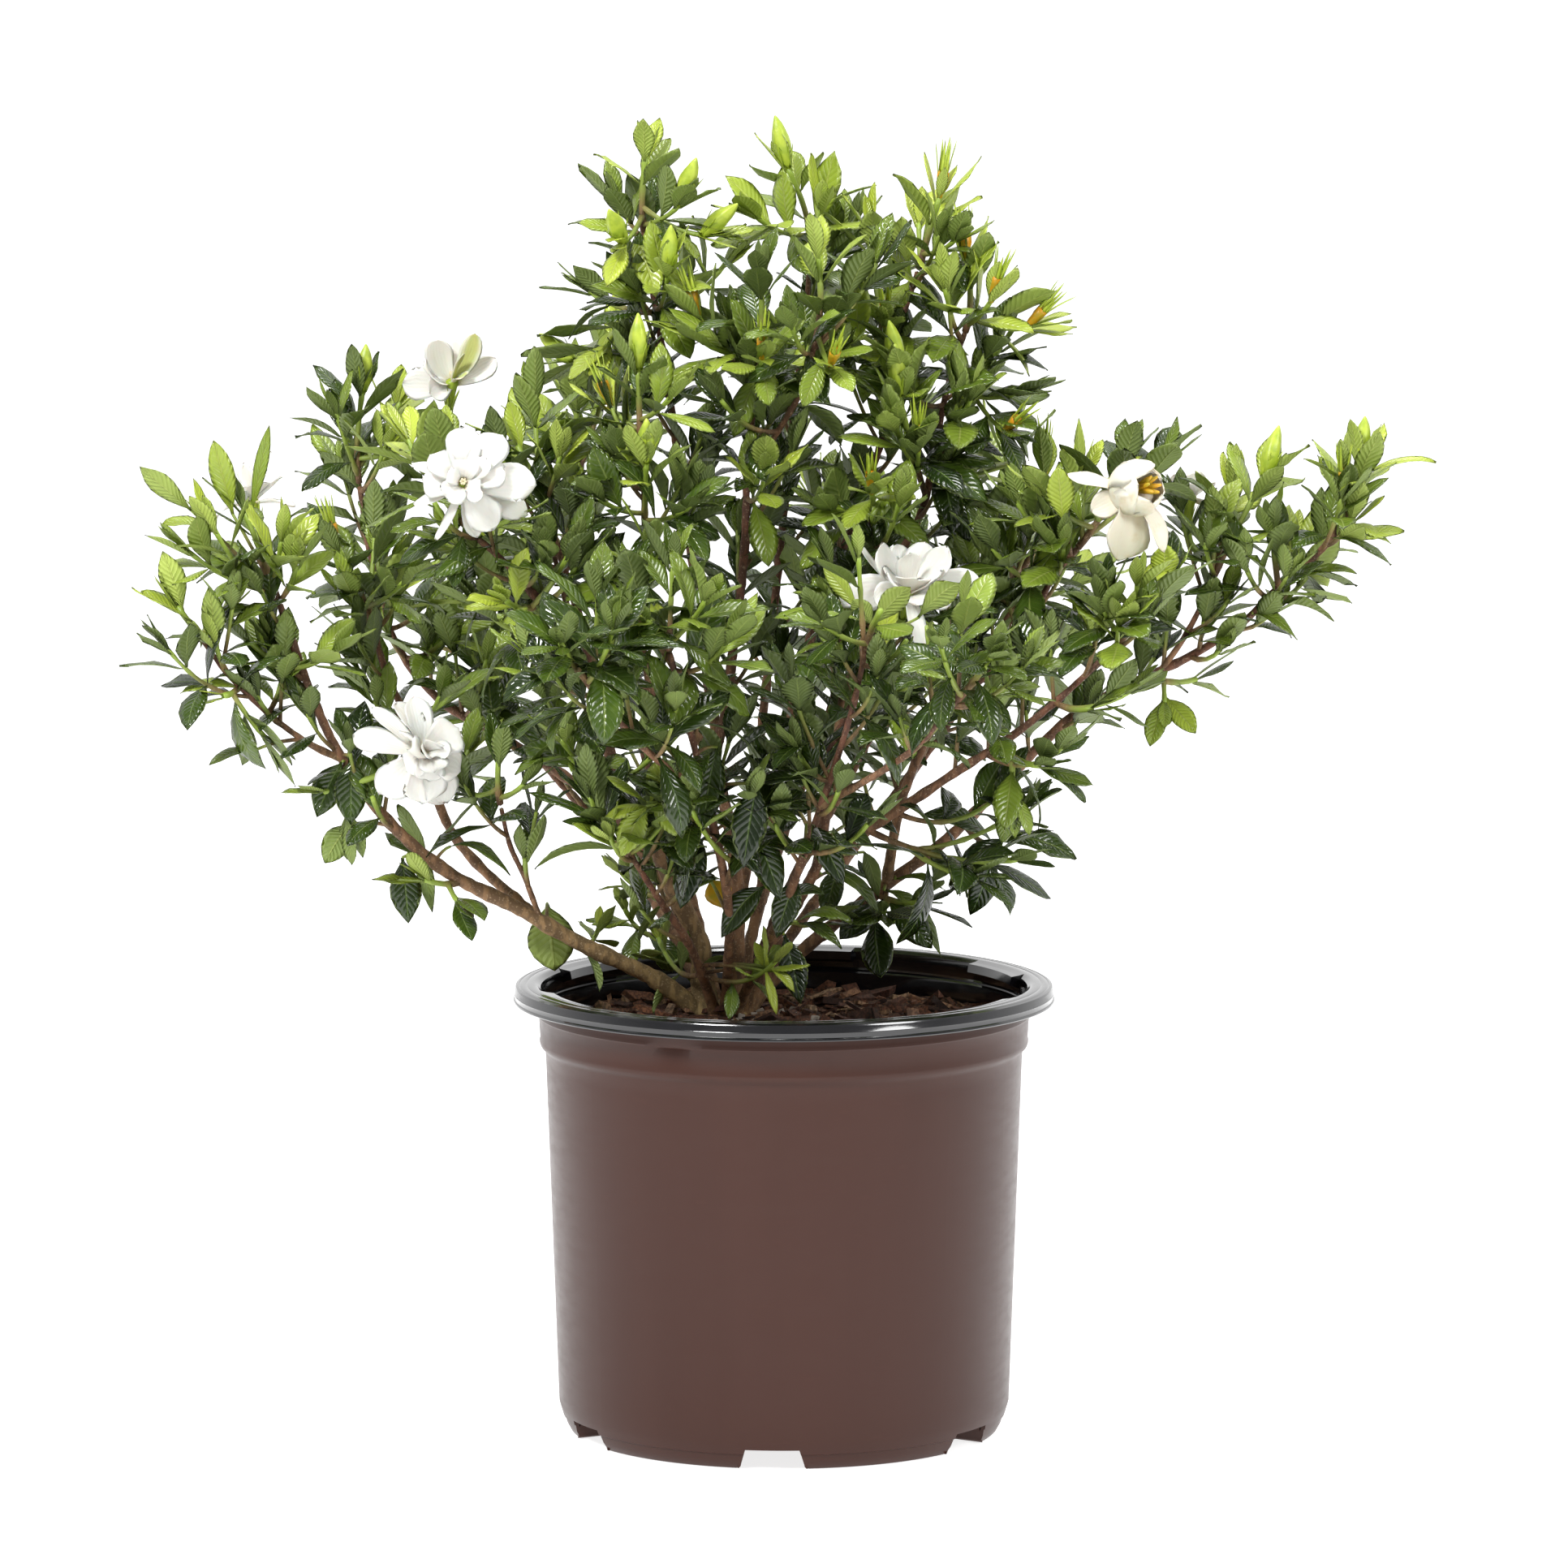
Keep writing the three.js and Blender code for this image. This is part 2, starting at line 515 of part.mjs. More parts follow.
// Leaves stand in crossed pairs down a shoot; each row is one pair, from the tip down:
// distance from the tip, length, width, angle from the shoot and arch of each leaf in degrees
const PAIRS = [
  { down: 2, length: 33, width: 14, spread: 27, arch: 14 },
  { down: 17, length: 43, width: 16, spread: 52, arch: 40 },
  { down: 36, length: 48, width: 17, spread: 72, arch: 62 },
];
const BLADE = { keel: 1.5, outline: [[0.4, 0.84], [0.74, 0.9], [1, 0]] };
const LEAVES_AT = [3, 2, 1]; // on each row of PAIRS

// Sets out flat, or along the limb that it carries on from, and turns up towards the light
function shootCurve(start, tip, heading = null) {
  if (heading) {
    const knee = start.clone().addScaledVector(heading, 0.4 * start.distanceTo(tip));
    return new THREE.QuadraticBezierCurve3(start, knee, tip);
  }
  const bend = start.clone().lerp(tip, 0.55);
  const run = Math.hypot(tip.x - start.x, tip.y - start.y);
  bend.z -= 0.16 * run;
  return new THREE.QuadraticBezierCurve3(start, bend, tip);
}

// The rings of one leaf: its root and the stem's direction there, its row of PAIRS, and the way it
// faces out from the stem
function leafRings(root, along, { length, width, spread, arch }, sideways) {
  const open = radians(spread);
  const outward = along.clone().multiplyScalar(Math.cos(open)).addScaledVector(sideways, Math.sin(open));
  const facing = along.clone().multiplyScalar(0.6).addScaledVector(UP, 0.8);
  const size = 0.86 + 0.28 * chance(Math.round(root.x), Math.round(root.y), Math.round(root.z));
  return bladeRings(root, outward, facing, {
    ...BLADE, length: length * size, width: width * size, arch: radians(arch),
  });
}

// The way that a triangle of a skin faces
function facetNormal(skin, face) {
  const [a, b, c] = skin.corners(face);
  return b.clone().sub(a).cross(c.clone().sub(a)).normalize();
}

// The free triangles of a node, first the one that faces the given way most
function facetsToward(skin, facets, direction) {
  const outness = (face) => facetNormal(skin, face).dot(direction);
  return facets.filter((face) => skin.faces[face]).sort((a, b) => outness(b) - outness(a));
}

// A flower bud and a spent calyx, each with pointed lobes round its base
const TIPS = {
  bud: { height: 29, base: 0.12, radius: 2.4, lobe: { lean: 0.9, length: 17 } },
  tuft: { height: 11, base: 0.4, radius: 2.4, lobe: { lean: 0.7, length: 20 } },
};
const BUD_SWELL = [[0.42, 4.8], [0.78, 3.4]]; // part of the height, radius
const LOBE = { width: 2.8, keel: 1.1, arch: -0.2, outline: [[0.4, 1], [1, 0]] };

function growTip(skin, shoot, kind, curve) {
  const { height, base, radius, lobe } = TIPS[kind];
  const tip = curve.getPoint(1);
  const along = curve.getTangent(1);
  const axis = new THREE.LineCurve3(tip, tip.clone().addScaledVector(along, height));
  const ringAt = (part, wide, sides) => stemRings(axis, [part], wide, wide, sides)[0];
  const swell = kind === BUD ? BUD_SWELL.map(([part, wide]) => ringAt(part, wide, 6)) : [];
  const rings = [ringAt(base, radius, 3), ...swell, [axis.getPoint(1)]];
  const lobed = skin.extend(rings[0]);
  rings.slice(1).forEach((ring) => skin.extend(ring));
  keep(skinOver(rings), shoot);
  for (const face of lobed) {
    const root = middleOf(skin.corners(face));
    const out = root.clone().sub(tip).projectOnPlane(along).normalize();
    const outward = along.clone().addScaledVector(out, lobe.lean);
    const blade = bladeRings(root, outward, out.negate(), { ...LOBE, length: lobe.length });
    sproutClear(skin, face, blade, { shoot });
  }
}

// The blooms

const PETAL = { keel: 1.3, cup: 0.12, outline: [[0.36, 0.5], [0.74, 1], [1, 0.5]] };
const PETAL_LEANS = [0, 6, -6, 12, -12, 18, -18, 26, 34]; // degrees, tried in turn until a petal is clear
const PETAL_NARROWS = 80; // a petal would have no width left if it leaned by this many degrees
const TUBE = { length: 17, radius: 2, throat: 4.2, sides: 6 };
const rosette = (size) => [
  { every: 1, length: 33 * size, width: 23 * size, open: 82, arch: 28 },
  { every: 1.5, length: 23 * size, width: 14 * size, open: 48, arch: 6 },
  { every: 3, length: 16 * size, width: 11 * size, open: 18, arch: -30 },
];

// Each bloom: the spray it grows on, its middle as seen, the way it faces and its layers of petals.
// A layer has a petal on every side of the six-sided throat, on every second side, or fewer.
const BLOOMS = {
  bloom_left_upper: { spray: "bloomLeft", middle: [-168, 517, -104],
    facing: [0.1, -0.95, 0.25], layers: rosette(1) },
  bloom_left_lower: { spray: "leftHang", middle: [-204, 367, -86],
    facing: [0.35, -0.85, 0.3], layers: rosette(0.96) },
  bloom_right_centre: { spray: "underBloom", middle: [66, 462, -60],
    facing: [0.2, -0.45, 0.87], layers: [
    { every: 1, length: 35, width: 23, open: 84, arch: 36 },
    { every: 1.5, length: 25, width: 15, open: 48, arch: 0 },
    { every: 3, length: 18, width: 11, open: 18, arch: -20 },
  ] },
  bloom_right_aged: { spray: "rightGroup", middle: [184, 508, -50], facing: [0.45, -0.7, 0.55], layers: [
    { every: 1.5, length: 34, width: 20, open: 86, arch: 62 },
    { every: 1, length: 26, width: 17, open: 40, arch: -42 },
  ] },
  bloom_left_opening: { spray: "backLeftTop", middle: [-180, 572, 118],
    facing: [0.1, -0.2, 0.97], layers: [
    { every: 1.5, length: 29, width: 18, open: 58, arch: -34 },
    { every: 3, length: 24, width: 14, open: 20, arch: -14 },
  ] },
  bloom_far_left: { spray: "leftEnd", middle: [-288, 512, 6], facing: [-0.2, 0.1, 0.97], layers: [
    { every: 1.2, length: 29, width: 17, open: 70, arch: 26 },
    { every: 3, length: 22, width: 12, open: 24, arch: 0 },
  ] },
  bloom_far_right: { spray: "riseTop", middle: [218, 510, 78], facing: [0.1, 0.3, 0.95], layers: [
    { every: 1.2, length: 24, width: 14, open: 66, arch: 20 },
    { every: 3, length: 18, width: 10, open: 22, arch: 0 },
  ] },
};

function bloom(name, { middle, facing, layers }) {
  const centre = seen(middle);
  const ahead = new THREE.Vector3(...facing).normalize();
  const base = centre.clone().addScaledVector(ahead, -TUBE.length);
  const axis = new THREE.LineCurve3(base, centre);
  const ringAt = (height, radius) => (
    stemRings(axis, [1 + height / TUBE.length], radius, radius, TUBE.sides)[0]);
  const rings = [ringAt(-TUBE.length, TUBE.radius), ringAt(-1, TUBE.throat)];
  layers.forEach((_, layer) => rings.push(ringAt(2.6 * layer + 1.6, TUBE.throat - 0.9 * (layer + 1))));
  const skin = new Skin(rings[0]);
  const [, ...bands] = rings.slice(1).map((ring) => skin.extend(ring));
  skin.close();
  keep(skinOver(rings), name);
  layers.forEach((layer, row) => {
    for (let side = row % 2 === 0 ? 0 : 0.5; side < TUBE.sides; side += layer.every) {
      const lean = side % 2 < 1 ? 8 : -6;
      growPetal(skin, name, bands[row][Math.floor(side)], layer, { centre, ahead, lean });
    }
  });
  return { body: skin.manifold(), base, ahead };
}

// Grows a petal out of one side of the throat, leaning in or out until it is clear of the rest
function growPetal(skin, name, face, { length, width, open, arch }, { centre, ahead, lean }) {
  if (!skin.faces[face]) return;
  const root = middleOf(skin.corners(face));
  const out = root.clone().sub(centre).projectOnPlane(ahead).normalize();
  for (const more of PETAL_LEANS) {
    const angle = radians(open + lean + more);
    const outward = ahead.clone().multiplyScalar(Math.cos(angle)).addScaledVector(out, Math.sin(angle));
    const inward = ahead.clone().multiplyScalar(Math.sin(angle)).addScaledVector(out, -Math.cos(angle));
    const rings = bladeRings(root, outward, inward, {
      ...PETAL, length, width: width * (1 - Math.abs(more) / PETAL_NARROWS), arch: radians(arch),
    });
    if (sproutClear(skin, face, rings, { shoot: name })) {
      skin.close();
      return;
    }
  }
}

// The plant put together

const placed = []; // every body so far, with the shoot that it belongs to and the node that it stands on

function box(manifold) {
  const { min, max } = manifold.boundingBox();
  return new THREE.Box3(new THREE.Vector3(...min), new THREE.Vector3(...max)).expandByScalar(CLEAR);
}

// Is a new body clear? On its own shoot, beside the leaves of its node or at the bloom that it
// carries, it may touch but not cross.
function isClear(body, { shoot, node, meets }) {
  const own = box(body);
  const joins = (other) => (
    other.shoot === meets || (other.shoot === shoot && (other.node ?? node) === node));
  return placed.every((other) => !own.intersectsBox(other.box) || (joins(other)
    ? body.intersect(other.body).volume() < TOUCH
    : body.minGap(other.body, CLEAR) > CLEAR - TOUCH));
}

function keep(body, shoot = null, node = null) {
  placed.push({ body, box: box(body), shoot, node });
  return body;
}

// Grows rings out of a triangle if they stay outside it and clear, and gives the new triangles
function sproutClear(skin, face, rings, { shoot, node = null, parent = shoot, meets }) {
  const corners = skin.corners(face);
  const normal = facetNormal(skin, face);
  if (rings[0].some((p) => p.clone().sub(corners[0]).dot(normal) < LIFT)) return null;
  const body = skinOver([corners, ...rings]);
  if (!isClear(body, { shoot: parent, node, meets })) return null;
  keep(body, shoot, node);
  return skin.sprout(face, rings);
}

// Grows a leaf out of one of the free sides of its node, swung round the shoot until it is clear;
// one that never is stays away
function growLeaf(skin, shoot, { along, facets }, pair) {
  const node = `${shoot} ${pair}`;
  for (const face of facetsToward(skin, facets, LIGHT)) {
    const root = middleOf(skin.corners(face));
    const square = facetNormal(skin, face).projectOnPlane(along).normalize();
    for (const swing of SWINGS) {
      const sideways = square.clone().applyAxisAngle(along, radians(swing));
      const rings = leafRings(root, along, PAIRS[pair], sideways);
      if (sproutClear(skin, face, rings, { shoot, node })) return;
    }
  }
}

// The woody foot of a spray, from its limb to where the shoots turn green
const TWIG_PART = 0.24; // of the first shoot

function woodyFoot([limb, number, first]) {
  const start = limbPlace(limb, number);
  const tip = seen(first);
  const curve = shootCurve(start, tip);
  return { end: curve.getPoint(TWIG_PART), curve };
}

function buildWood(feet) {
  const peg = crownPlug(CROWN_HOLE.radius, CROWN_HOLE.floor);
  const pieces = [peg.trimByPlane([0, 0, -1], -(SOIL_TOP + CROWN_RISE))];
  for (const [name, { radius, way }] of Object.entries(LIMBS)) {
    const steps = Math.ceil(way.length * 0.7);
    const [thick, thin] = radius;
    pieces.push(loft(stemRings(limbCurves[name], evenly(steps), thick, thin, thick > 5 ? 5 : 4)));
  }
  for (const { curve, end } of feet.filter((foot) => foot.twig)) {
    const knee = curve.v0.clone().lerp(curve.v1, TWIG_PART);
    const twig = new THREE.QuadraticBezierCurve3(curve.v0, knee, end);
    pieces.push(loft(stemRings(twig, evenly(1), 1.7, 1.3, 3)));
  }
  return oneBody(fuse(pieces));
}

// A leaf or a side shoot stands on a node: two rings of the stem close together
const NODE = 2.4;
const FORK_FIRST = 3.5; // from the foot of the green shoot to its first fork
const FORK_STEP = 5;
const NODE_TWIST = 60; // degrees from one node to the next, so that leaves stand between those below

// The rings of a shoot that starts at a part of its curve, and its nodes in the order given
function shootPlan(curve, from, nodes, thick, thin) {
  const half = NODE / curve.getLength() / 2;
  const marks = [...nodes.keys()].sort((a, b) => nodes[a] - nodes[b]);
  const parts = [from, ...marks.flatMap((k) => [nodes[k] - half, nodes[k] + half]), 1];
  const twists = parts.map((_, k) => NODE_TWIST * Math.floor((k + 1) / 2));
  const rings = stemRings(curve, parts, thick, thin, 3, twists);
  const atNodes = (bands) => nodes.map((t, k) => (
    { place: curve.getPoint(t), along: curve.getTangent(t), facets: bands[2 * marks.indexOf(k) + 2] }));
  return { rings, atNodes };
}

// The green shoots of one spray: the first goes on from the woody foot, the others branch off it
function growSpray(name, foot, tips, stalk) {
  const ends = tips.map((tip) => seen(tip));
  const main = foot.twig ? foot.curve : shootCurve(foot.end, ends[0], foot.heading);
  const from = (foot.twig ? TWIG_PART : 0) + (GAP + 0.1) / main.getLength();
  const forks = [...ends.slice(1), ...(stalk ? [stalk.base] : [])];
  const forkAt = (k) => from + (FORK_FIRST + FORK_STEP * k) / main.getLength();
  const rows = leafyRows(main, forkAt(forks.length - 1));
  const marks = [...rows.map(({ t }) => t), ...forks.map((_, k) => forkAt(k))];
  const plan = shootPlan(main, from, marks, 1.6, 1);
  const skin = new Skin(plan.rings[0]);
  const trunk = `${name} 0`;
  keep(skinOver(plan.rings), trunk);
  const nodes = plan.atNodes([null, ...plan.rings.slice(1).map((ring) => skin.extend(ring))]);
  finishTip(skin, trunk, tips[0][3], main);
  const leafy = [{ shoot: trunk, rows, nodes }];
  forks.forEach((end, k) => {
    const ending = k === tips.length - 1 ? { stalk } : { kind: tips[k + 1][3] };
    const shoot = `${name} ${k + 1}`;
    const side = growSide(skin, nodes[rows.length + k], { trunk, shoot, end, ...ending });
    if (side) leafy.push(side);
  });
  return { skin, leafy };
}

function finishTip(skin, shoot, kind, curve) {
  if (kind) growTip(skin, shoot, kind, curve);
  else skin.close();
}

// A side shoot or flower stalk leaves its node as steeply as it must to stay clear of the trunk: it
// bows out by one of these distances, and its first ring is one of these distances from the node
const BOWS = [0, 4, 8, 13, 20];
const STARTS = [4, 6, 9];

function growSide(skin, node, { trunk, shoot, end, stalk, kind }) {
  const straight = stalk ? stalkCurve(node.place, stalk) : shootCurve(node.place, end);
  const toward = straight.getPoint(0.2).sub(node.place).projectOnPlane(node.along);
  for (const bow of BOWS) {
    for (const face of facetsToward(skin, node.facets, toward)) {
      const curve = straight.clone();
      curve.v1.addScaledVector(facetNormal(skin, face), bow);
      for (const start of STARTS) {
        const from = start / curve.getLength();
        const rows = stalk ? [] : leafyRows(curve, from);
        const plan = shootPlan(curve, from, rows.map(({ t }) => t), 1.2, stalk ? 1.5 : 0.9);
        const bands = sproutClear(skin, face, plan.rings, { shoot, parent: trunk, meets: stalk?.bloom });
        if (bands) {
          finishTip(skin, shoot, kind, curve);
          return { shoot, rows, nodes: plan.atNodes(bands) };
        }
      }
    }
  }
  return null;
}

function stalkCurve(start, { base, ahead }) {
  const tip = base.clone().addScaledVector(ahead, -GAP - 0.05);
  const bend = tip.clone().addScaledVector(ahead, -0.4 * tip.distanceTo(start));
  return new THREE.QuadraticBezierCurve3(start, bend, tip);
}

// Where the rows of leaves stand on a shoot, as parts of its length above the lowest place given
function leafyRows(curve, lowest) {
  const length = curve.getLength();
  const rows = PAIRS.map(({ down }, pair) => ({ pair, t: 1 - down / length }));
  return rows.filter(({ t }) => t > lowest + 6 / length);
}

function buildPlant() {
  drawLimbs();
  const feet = {};
  for (const [name, spray] of Object.entries(SPRAYS)) {
    const twig = spray[1] !== END;
    const limb = limbCurves[spray[0]];
    const limbEnd = { twig, end: limb.getPoint(1), heading: limb.getTangent(1) };
    feet[name] = twig ? { twig, ...woodyFoot(spray) } : limbEnd;
  }
  const wood = keep(buildWood(Object.values(feet)));
  const meshes = [mesh("wood", wood, "#5d4636", 0.9)];
  const stalks = {};
  for (const [name, plan] of Object.entries(BLOOMS)) {
    const { body, base, ahead } = bloom(name, plan);
    stalks[plan.spray] = { bloom: name, base, ahead };
    meshes.push(mesh(name, body, name === "bloom_right_aged" ? "#efe6cf" : "#f6f4ee", 0.6));
  }
  const sprays = Object.entries(SPRAYS).map(([name, [, , ...tips]]) => (
    { name, ...growSpray(name, feet[name], tips, stalks[name]) }));
  for (const { name, skin, leafy } of sprays) {
    for (const { shoot, rows, nodes } of leafy) {
      rows.forEach(({ pair }, row) => {
        for (let leaf = 0; leaf < LEAVES_AT[pair]; leaf += 1) growLeaf(skin, shoot, nodes[row], pair);
      });
    }
    meshes.push(mesh(`spray_${name}`, skin.manifold(), "#4d7a2f", 0.55));
  }
  return meshes;
}

const plant = new THREE.Group();
plant.name = "potted_gardenia";
plant.add(mesh("pot", pot(), "#64504a", 0.45));
plant.add(mesh("soil", soil(), "#3b2a20", 0.95));
plant.add(...buildPlant());

export default plant;
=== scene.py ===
from math import cos, exp, hypot, pi, radians, sin, sqrt

import bpy
import numpy as np
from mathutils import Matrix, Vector, noise


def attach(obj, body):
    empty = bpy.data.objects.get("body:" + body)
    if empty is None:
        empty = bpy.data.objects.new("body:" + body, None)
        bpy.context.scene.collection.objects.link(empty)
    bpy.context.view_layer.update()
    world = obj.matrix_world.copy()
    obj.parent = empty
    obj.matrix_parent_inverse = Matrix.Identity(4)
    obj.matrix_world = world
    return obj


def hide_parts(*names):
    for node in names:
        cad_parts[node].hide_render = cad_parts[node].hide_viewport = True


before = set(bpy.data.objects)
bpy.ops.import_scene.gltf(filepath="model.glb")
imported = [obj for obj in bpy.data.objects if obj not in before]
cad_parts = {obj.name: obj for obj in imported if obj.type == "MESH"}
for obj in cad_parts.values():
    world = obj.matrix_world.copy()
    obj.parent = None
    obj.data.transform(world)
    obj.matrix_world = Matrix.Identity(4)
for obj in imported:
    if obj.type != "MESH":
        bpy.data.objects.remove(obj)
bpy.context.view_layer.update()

# A potted gardenia: a black-lipped nursery pot, its soil, and a branching shrub in flower.
# Sizes and places are in millimetres, and a mesh is scaled to metres when it is made.
MM = 0.001
UP = np.array([0.0, 0.0, 1.0])
GOLDEN_ANGLE = 2.39996


def put(name, data):
    """A new object in the scene"""
    made = bpy.data.objects.new(name, data)
    bpy.context.scene.collection.objects.link(made)
    return made


# The camera

EYE = np.array([0.0, -4600.0, 948.0])
AIM = np.array([0.0, 0.0, 352.0])
LENS = 197.5
SENSOR = 36.0


def add_camera():
    data = bpy.data.cameras.new("camera")
    data.lens = LENS
    data.sensor_width = SENSOR
    camera = put("camera", data)
    camera.location = EYE * MM
    camera.rotation_euler = Vector(AIM - EYE).to_track_quat("-Z", "Y").to_euler()
    bpy.context.scene.camera = camera


add_camera()

# Places and lines


def seen(place):
    """A place as it looks from the front: across and up on the plane of the pot's axis, then depth"""
    across, height, depth = place
    return EYE + (np.array([across, 0.0, height]) - EYE) * (1 - depth / EYE[1])


def as_seen(point):
    """The opposite: where a point shows on the plane of the pot's axis, and its depth"""
    scale = 1 - point[1] / EYE[1]
    return np.array([point[0] / scale, EYE[2] + (point[2] - EYE[2]) / scale, point[1]])


def unit(vector):
    return vector / max(np.linalg.norm(vector), 1e-9)


def turned(vector, axis, angle):
    """The vector turned about a unit axis by an angle in radians"""
    return (vector * cos(angle) + np.cross(axis, vector) * sin(angle)
            + axis * np.dot(axis, vector) * (1 - cos(angle)))


def squared(vector, axis):
    """The part of a vector that is square to a unit axis, as a unit vector"""
    return unit(vector - axis * np.dot(vector, axis))


class Line:
    """A smooth line held as close points and read by the distance along it"""

    def __init__(self, points):
        self.points = np.asarray(points, float)
        steps = np.linalg.norm(np.diff(self.points, axis=0), axis=1)
        self.marks = np.concatenate([[0.0], np.cumsum(steps)])
        self.length = self.marks[-1]

    def at(self, distance):
        return np.array([np.interp(distance, self.marks, column) for column in self.points.T])

    def heading(self, distance):
        step = 0.01 * self.length
        low = np.clip(distance - step, 0, self.length - step)
        return unit(self.at(low + 2 * step) - self.at(low))


def across_from(along):
    """A side of a stem that its leaves and facets are counted from"""
    return squared(np.array([0.3, 1.0, 0.2]), along)


def arc(start, bend, end, t):
    """The points of a curve that leaves its start towards the bend"""
    return (1 - t) ** 2 * start + 2 * t * (1 - t) * bend + t ** 2 * end


def arc_heading(start, bend, end, t):
    along = 2 * (1 - t) * (bend - start) + 2 * t * (end - bend)
    return along / np.linalg.norm(along, axis=1, keepdims=True)


def bezier(start, bend, end, steps=24):
    return Line(arc(start, bend, end, np.linspace(0, 1, steps + 1)[:, None]))


def spline_point(points, number):
    """A place on the smooth line through the points, by point number"""
    rows = np.vstack([2 * points[0] - points[1], points, 2 * points[-1] - points[-2]])
    k = min(int(number), len(points) - 2)
    t = number - k
    a, b, c, d = rows[k:k + 4]
    return b + 0.5 * t * (c - a + t * (2 * a - 5 * b + 4 * c - d + t * (3 * b - a - 3 * c + d)))


def spline(points, steps=8):
    return Line([spline_point(points, k / steps) for k in range(steps * (len(points) - 1) + 1)])


# Meshes

class Shape:
    """One mesh in the making: closed skins, the finish of each face, and what is painted on each point.
    place holds how far across, along and up a part the point is; tone holds freshness and a chance."""

    def __init__(self):
        self.points, self.faces, self.finishes = [], [], []
        self.places, self.tones = [], []
        self.count = 0

    def add(self, points, faces, finish, places, tone):
        """finish is a number for all faces, or a list with one for each"""
        self.faces.extend((np.asarray(group) + self.count).tolist() for group in faces)
        self.points.append(points)
        self.places.append(places)
        self.tones.append(np.broadcast_to(tone, points.shape))
        self.finishes.extend([finish] * len(faces) if isinstance(finish, int) else finish)
        self.count += len(points)

    def build(self, name, materials, nodes, sharp=None):
        mesh = bpy.data.meshes.new(name)
        mesh.from_pydata((np.vstack(self.points) * MM).tolist(), [], self.faces)
        for material in materials:
            mesh.materials.append(material)
        mesh.polygons.foreach_set("material_index", self.finishes)
        for key, rows in (("place", self.places), ("tone", self.tones)):
            attribute = mesh.attributes.new(key, "FLOAT_VECTOR", "POINT")
            attribute.data.foreach_set("vector", np.vstack(rows).astype(np.float32).ravel())
        mesh.shade_smooth()
        if sharp:
            mesh.set_sharp_from_angle(angle=radians(sharp))
        piece = put(name, mesh)
        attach(piece, "root")
        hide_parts(*nodes)
        return piece


def tube(shape, line, stations, radii, sides, finish, tone_from, tone_to, chance=0.5, ribs=0):
    """A round stem along a line, with a point at each end"""
    points, places, tones = [], [], []
    across = across_from(line.heading(stations[0]))
    last = len(stations) - 1
    for row, (distance, radius) in enumerate(zip(stations, radii)):
        along = line.heading(distance)
        across = squared(across, along)
        other = np.cross(along, across)
        centre = line.at(distance)
        part = row / last
        for k in range(sides):
            angle = 2 * pi * k / sides
            out = across * cos(angle) + other * sin(angle)
            swell = 1 + (0.12 * cos(ribs * (angle + 1.5 * part)) if ribs else 0)
            points.append(centre + out * radius * swell)
            places.append([k / sides, distance / 100, 0])
            tones.append([tone_from + (tone_to - tone_from) * part, chance, 0])
    faces = [[row * sides + k, row * sides + (k + 1) % sides,
              (row + 1) * sides + (k + 1) % sides, (row + 1) * sides + k]
             for row in range(last) for k in range(sides)]
    for row, push in ((0, -0.5), (last, 0.5)):
        tip = len(points)
        first = row * sides
        points.append(line.at(stations[row]) + line.heading(stations[row]) * push * radii[row])
        places.append([0, stations[row] / 100, 0])
        tones.append(tones[first])
        ring = [[first + k, first + (k + 1) % sides, tip] for k in range(sides)]
        faces += [face[::-1] for face in ring] if row == 0 else ring
    shape.add(np.array(points), faces, finish, np.array(places), np.array(tones))


class Sheet:
    """The grid that leaves and petals are made on: a closed skin with its upper and under side
    joined along the border. Columns run from -1 to 1 across it and rows from 0 to 1 along it."""

    def __init__(self, columns, rows):
        self.columns, self.rows = np.array([columns]), np.array(rows)[:, None]
        down, across = len(rows), len(columns)
        upper = np.arange(down * across).reshape(down, across)
        under = upper.copy()
        under[1:-1, 1:-1] = down * across + np.arange((down - 2) * (across - 2)).reshape(down - 2, -1)
        self.faces, self.finishes = [], []
        for finish, grid in enumerate((upper, under)):
            for r in range(down - 1):
                for c in range(across - 1):
                    face = [grid[r, c], grid[r, c + 1], grid[r + 1, c + 1], grid[r + 1, c]]
                    self.faces.append(face if finish == 0 else face[::-1])
                    self.finishes.append(finish)
        place = np.stack(np.broadcast_arrays(self.columns, self.rows, 0.0), axis=-1)
        self.places = np.vstack([place.reshape(-1, 3), place[1:-1, 1:-1].reshape(-1, 3)])

    def draw(self, shape, spine, sides, ups, widths, lift, thick, finishes, tone):
        """lift raises the grid off the spine, and thick is how far below it the under side lies"""
        across = self.columns * widths
        top = spine[:, None] + sides[:, None] * across[..., None] + ups[:, None] * lift[..., None]
        low = top[1:-1, 1:-1] - ups[1:-1, None] * thick[1:-1, 1:-1, None]
        points = np.vstack([top.reshape(-1, 3), low.reshape(-1, 3)])
        shape.add(points, self.faces, [finishes[k] for k in self.finishes], self.places, tone)


LEAF_SHEET = Sheet([-1, -0.62, -0.26, 0, 0.26, 0.62, 1], [0, 0.08, 0.2, 0.34, 0.49, 0.64, 0.79, 0.91, 1])
INNER_LEAF_SHEET = Sheet([-1, -0.5, 0, 0.5, 1], [0, 0.1, 0.28, 0.48, 0.68, 0.87, 1])
PETAL_SHEET = Sheet([-1, -0.75, -0.4, 0, 0.4, 0.75, 1],
                    [0, 0.1, 0.22, 0.35, 0.48, 0.6, 0.72, 0.82, 0.9, 0.96, 1])
LOBE_SHEET = Sheet([-1, 0, 1], [0, 0.2, 0.4, 0.6, 0.8, 1])

# Finishes

def colour(red, green, blue):
    """A colour given as it looks on a screen, 0 to 255"""
    def linear(value):
        value /= 255
        return value / 12.92 if value <= 0.04045 else ((value + 0.055) / 1.055) ** 2.4
    return linear(red), linear(green), linear(blue), 1.0


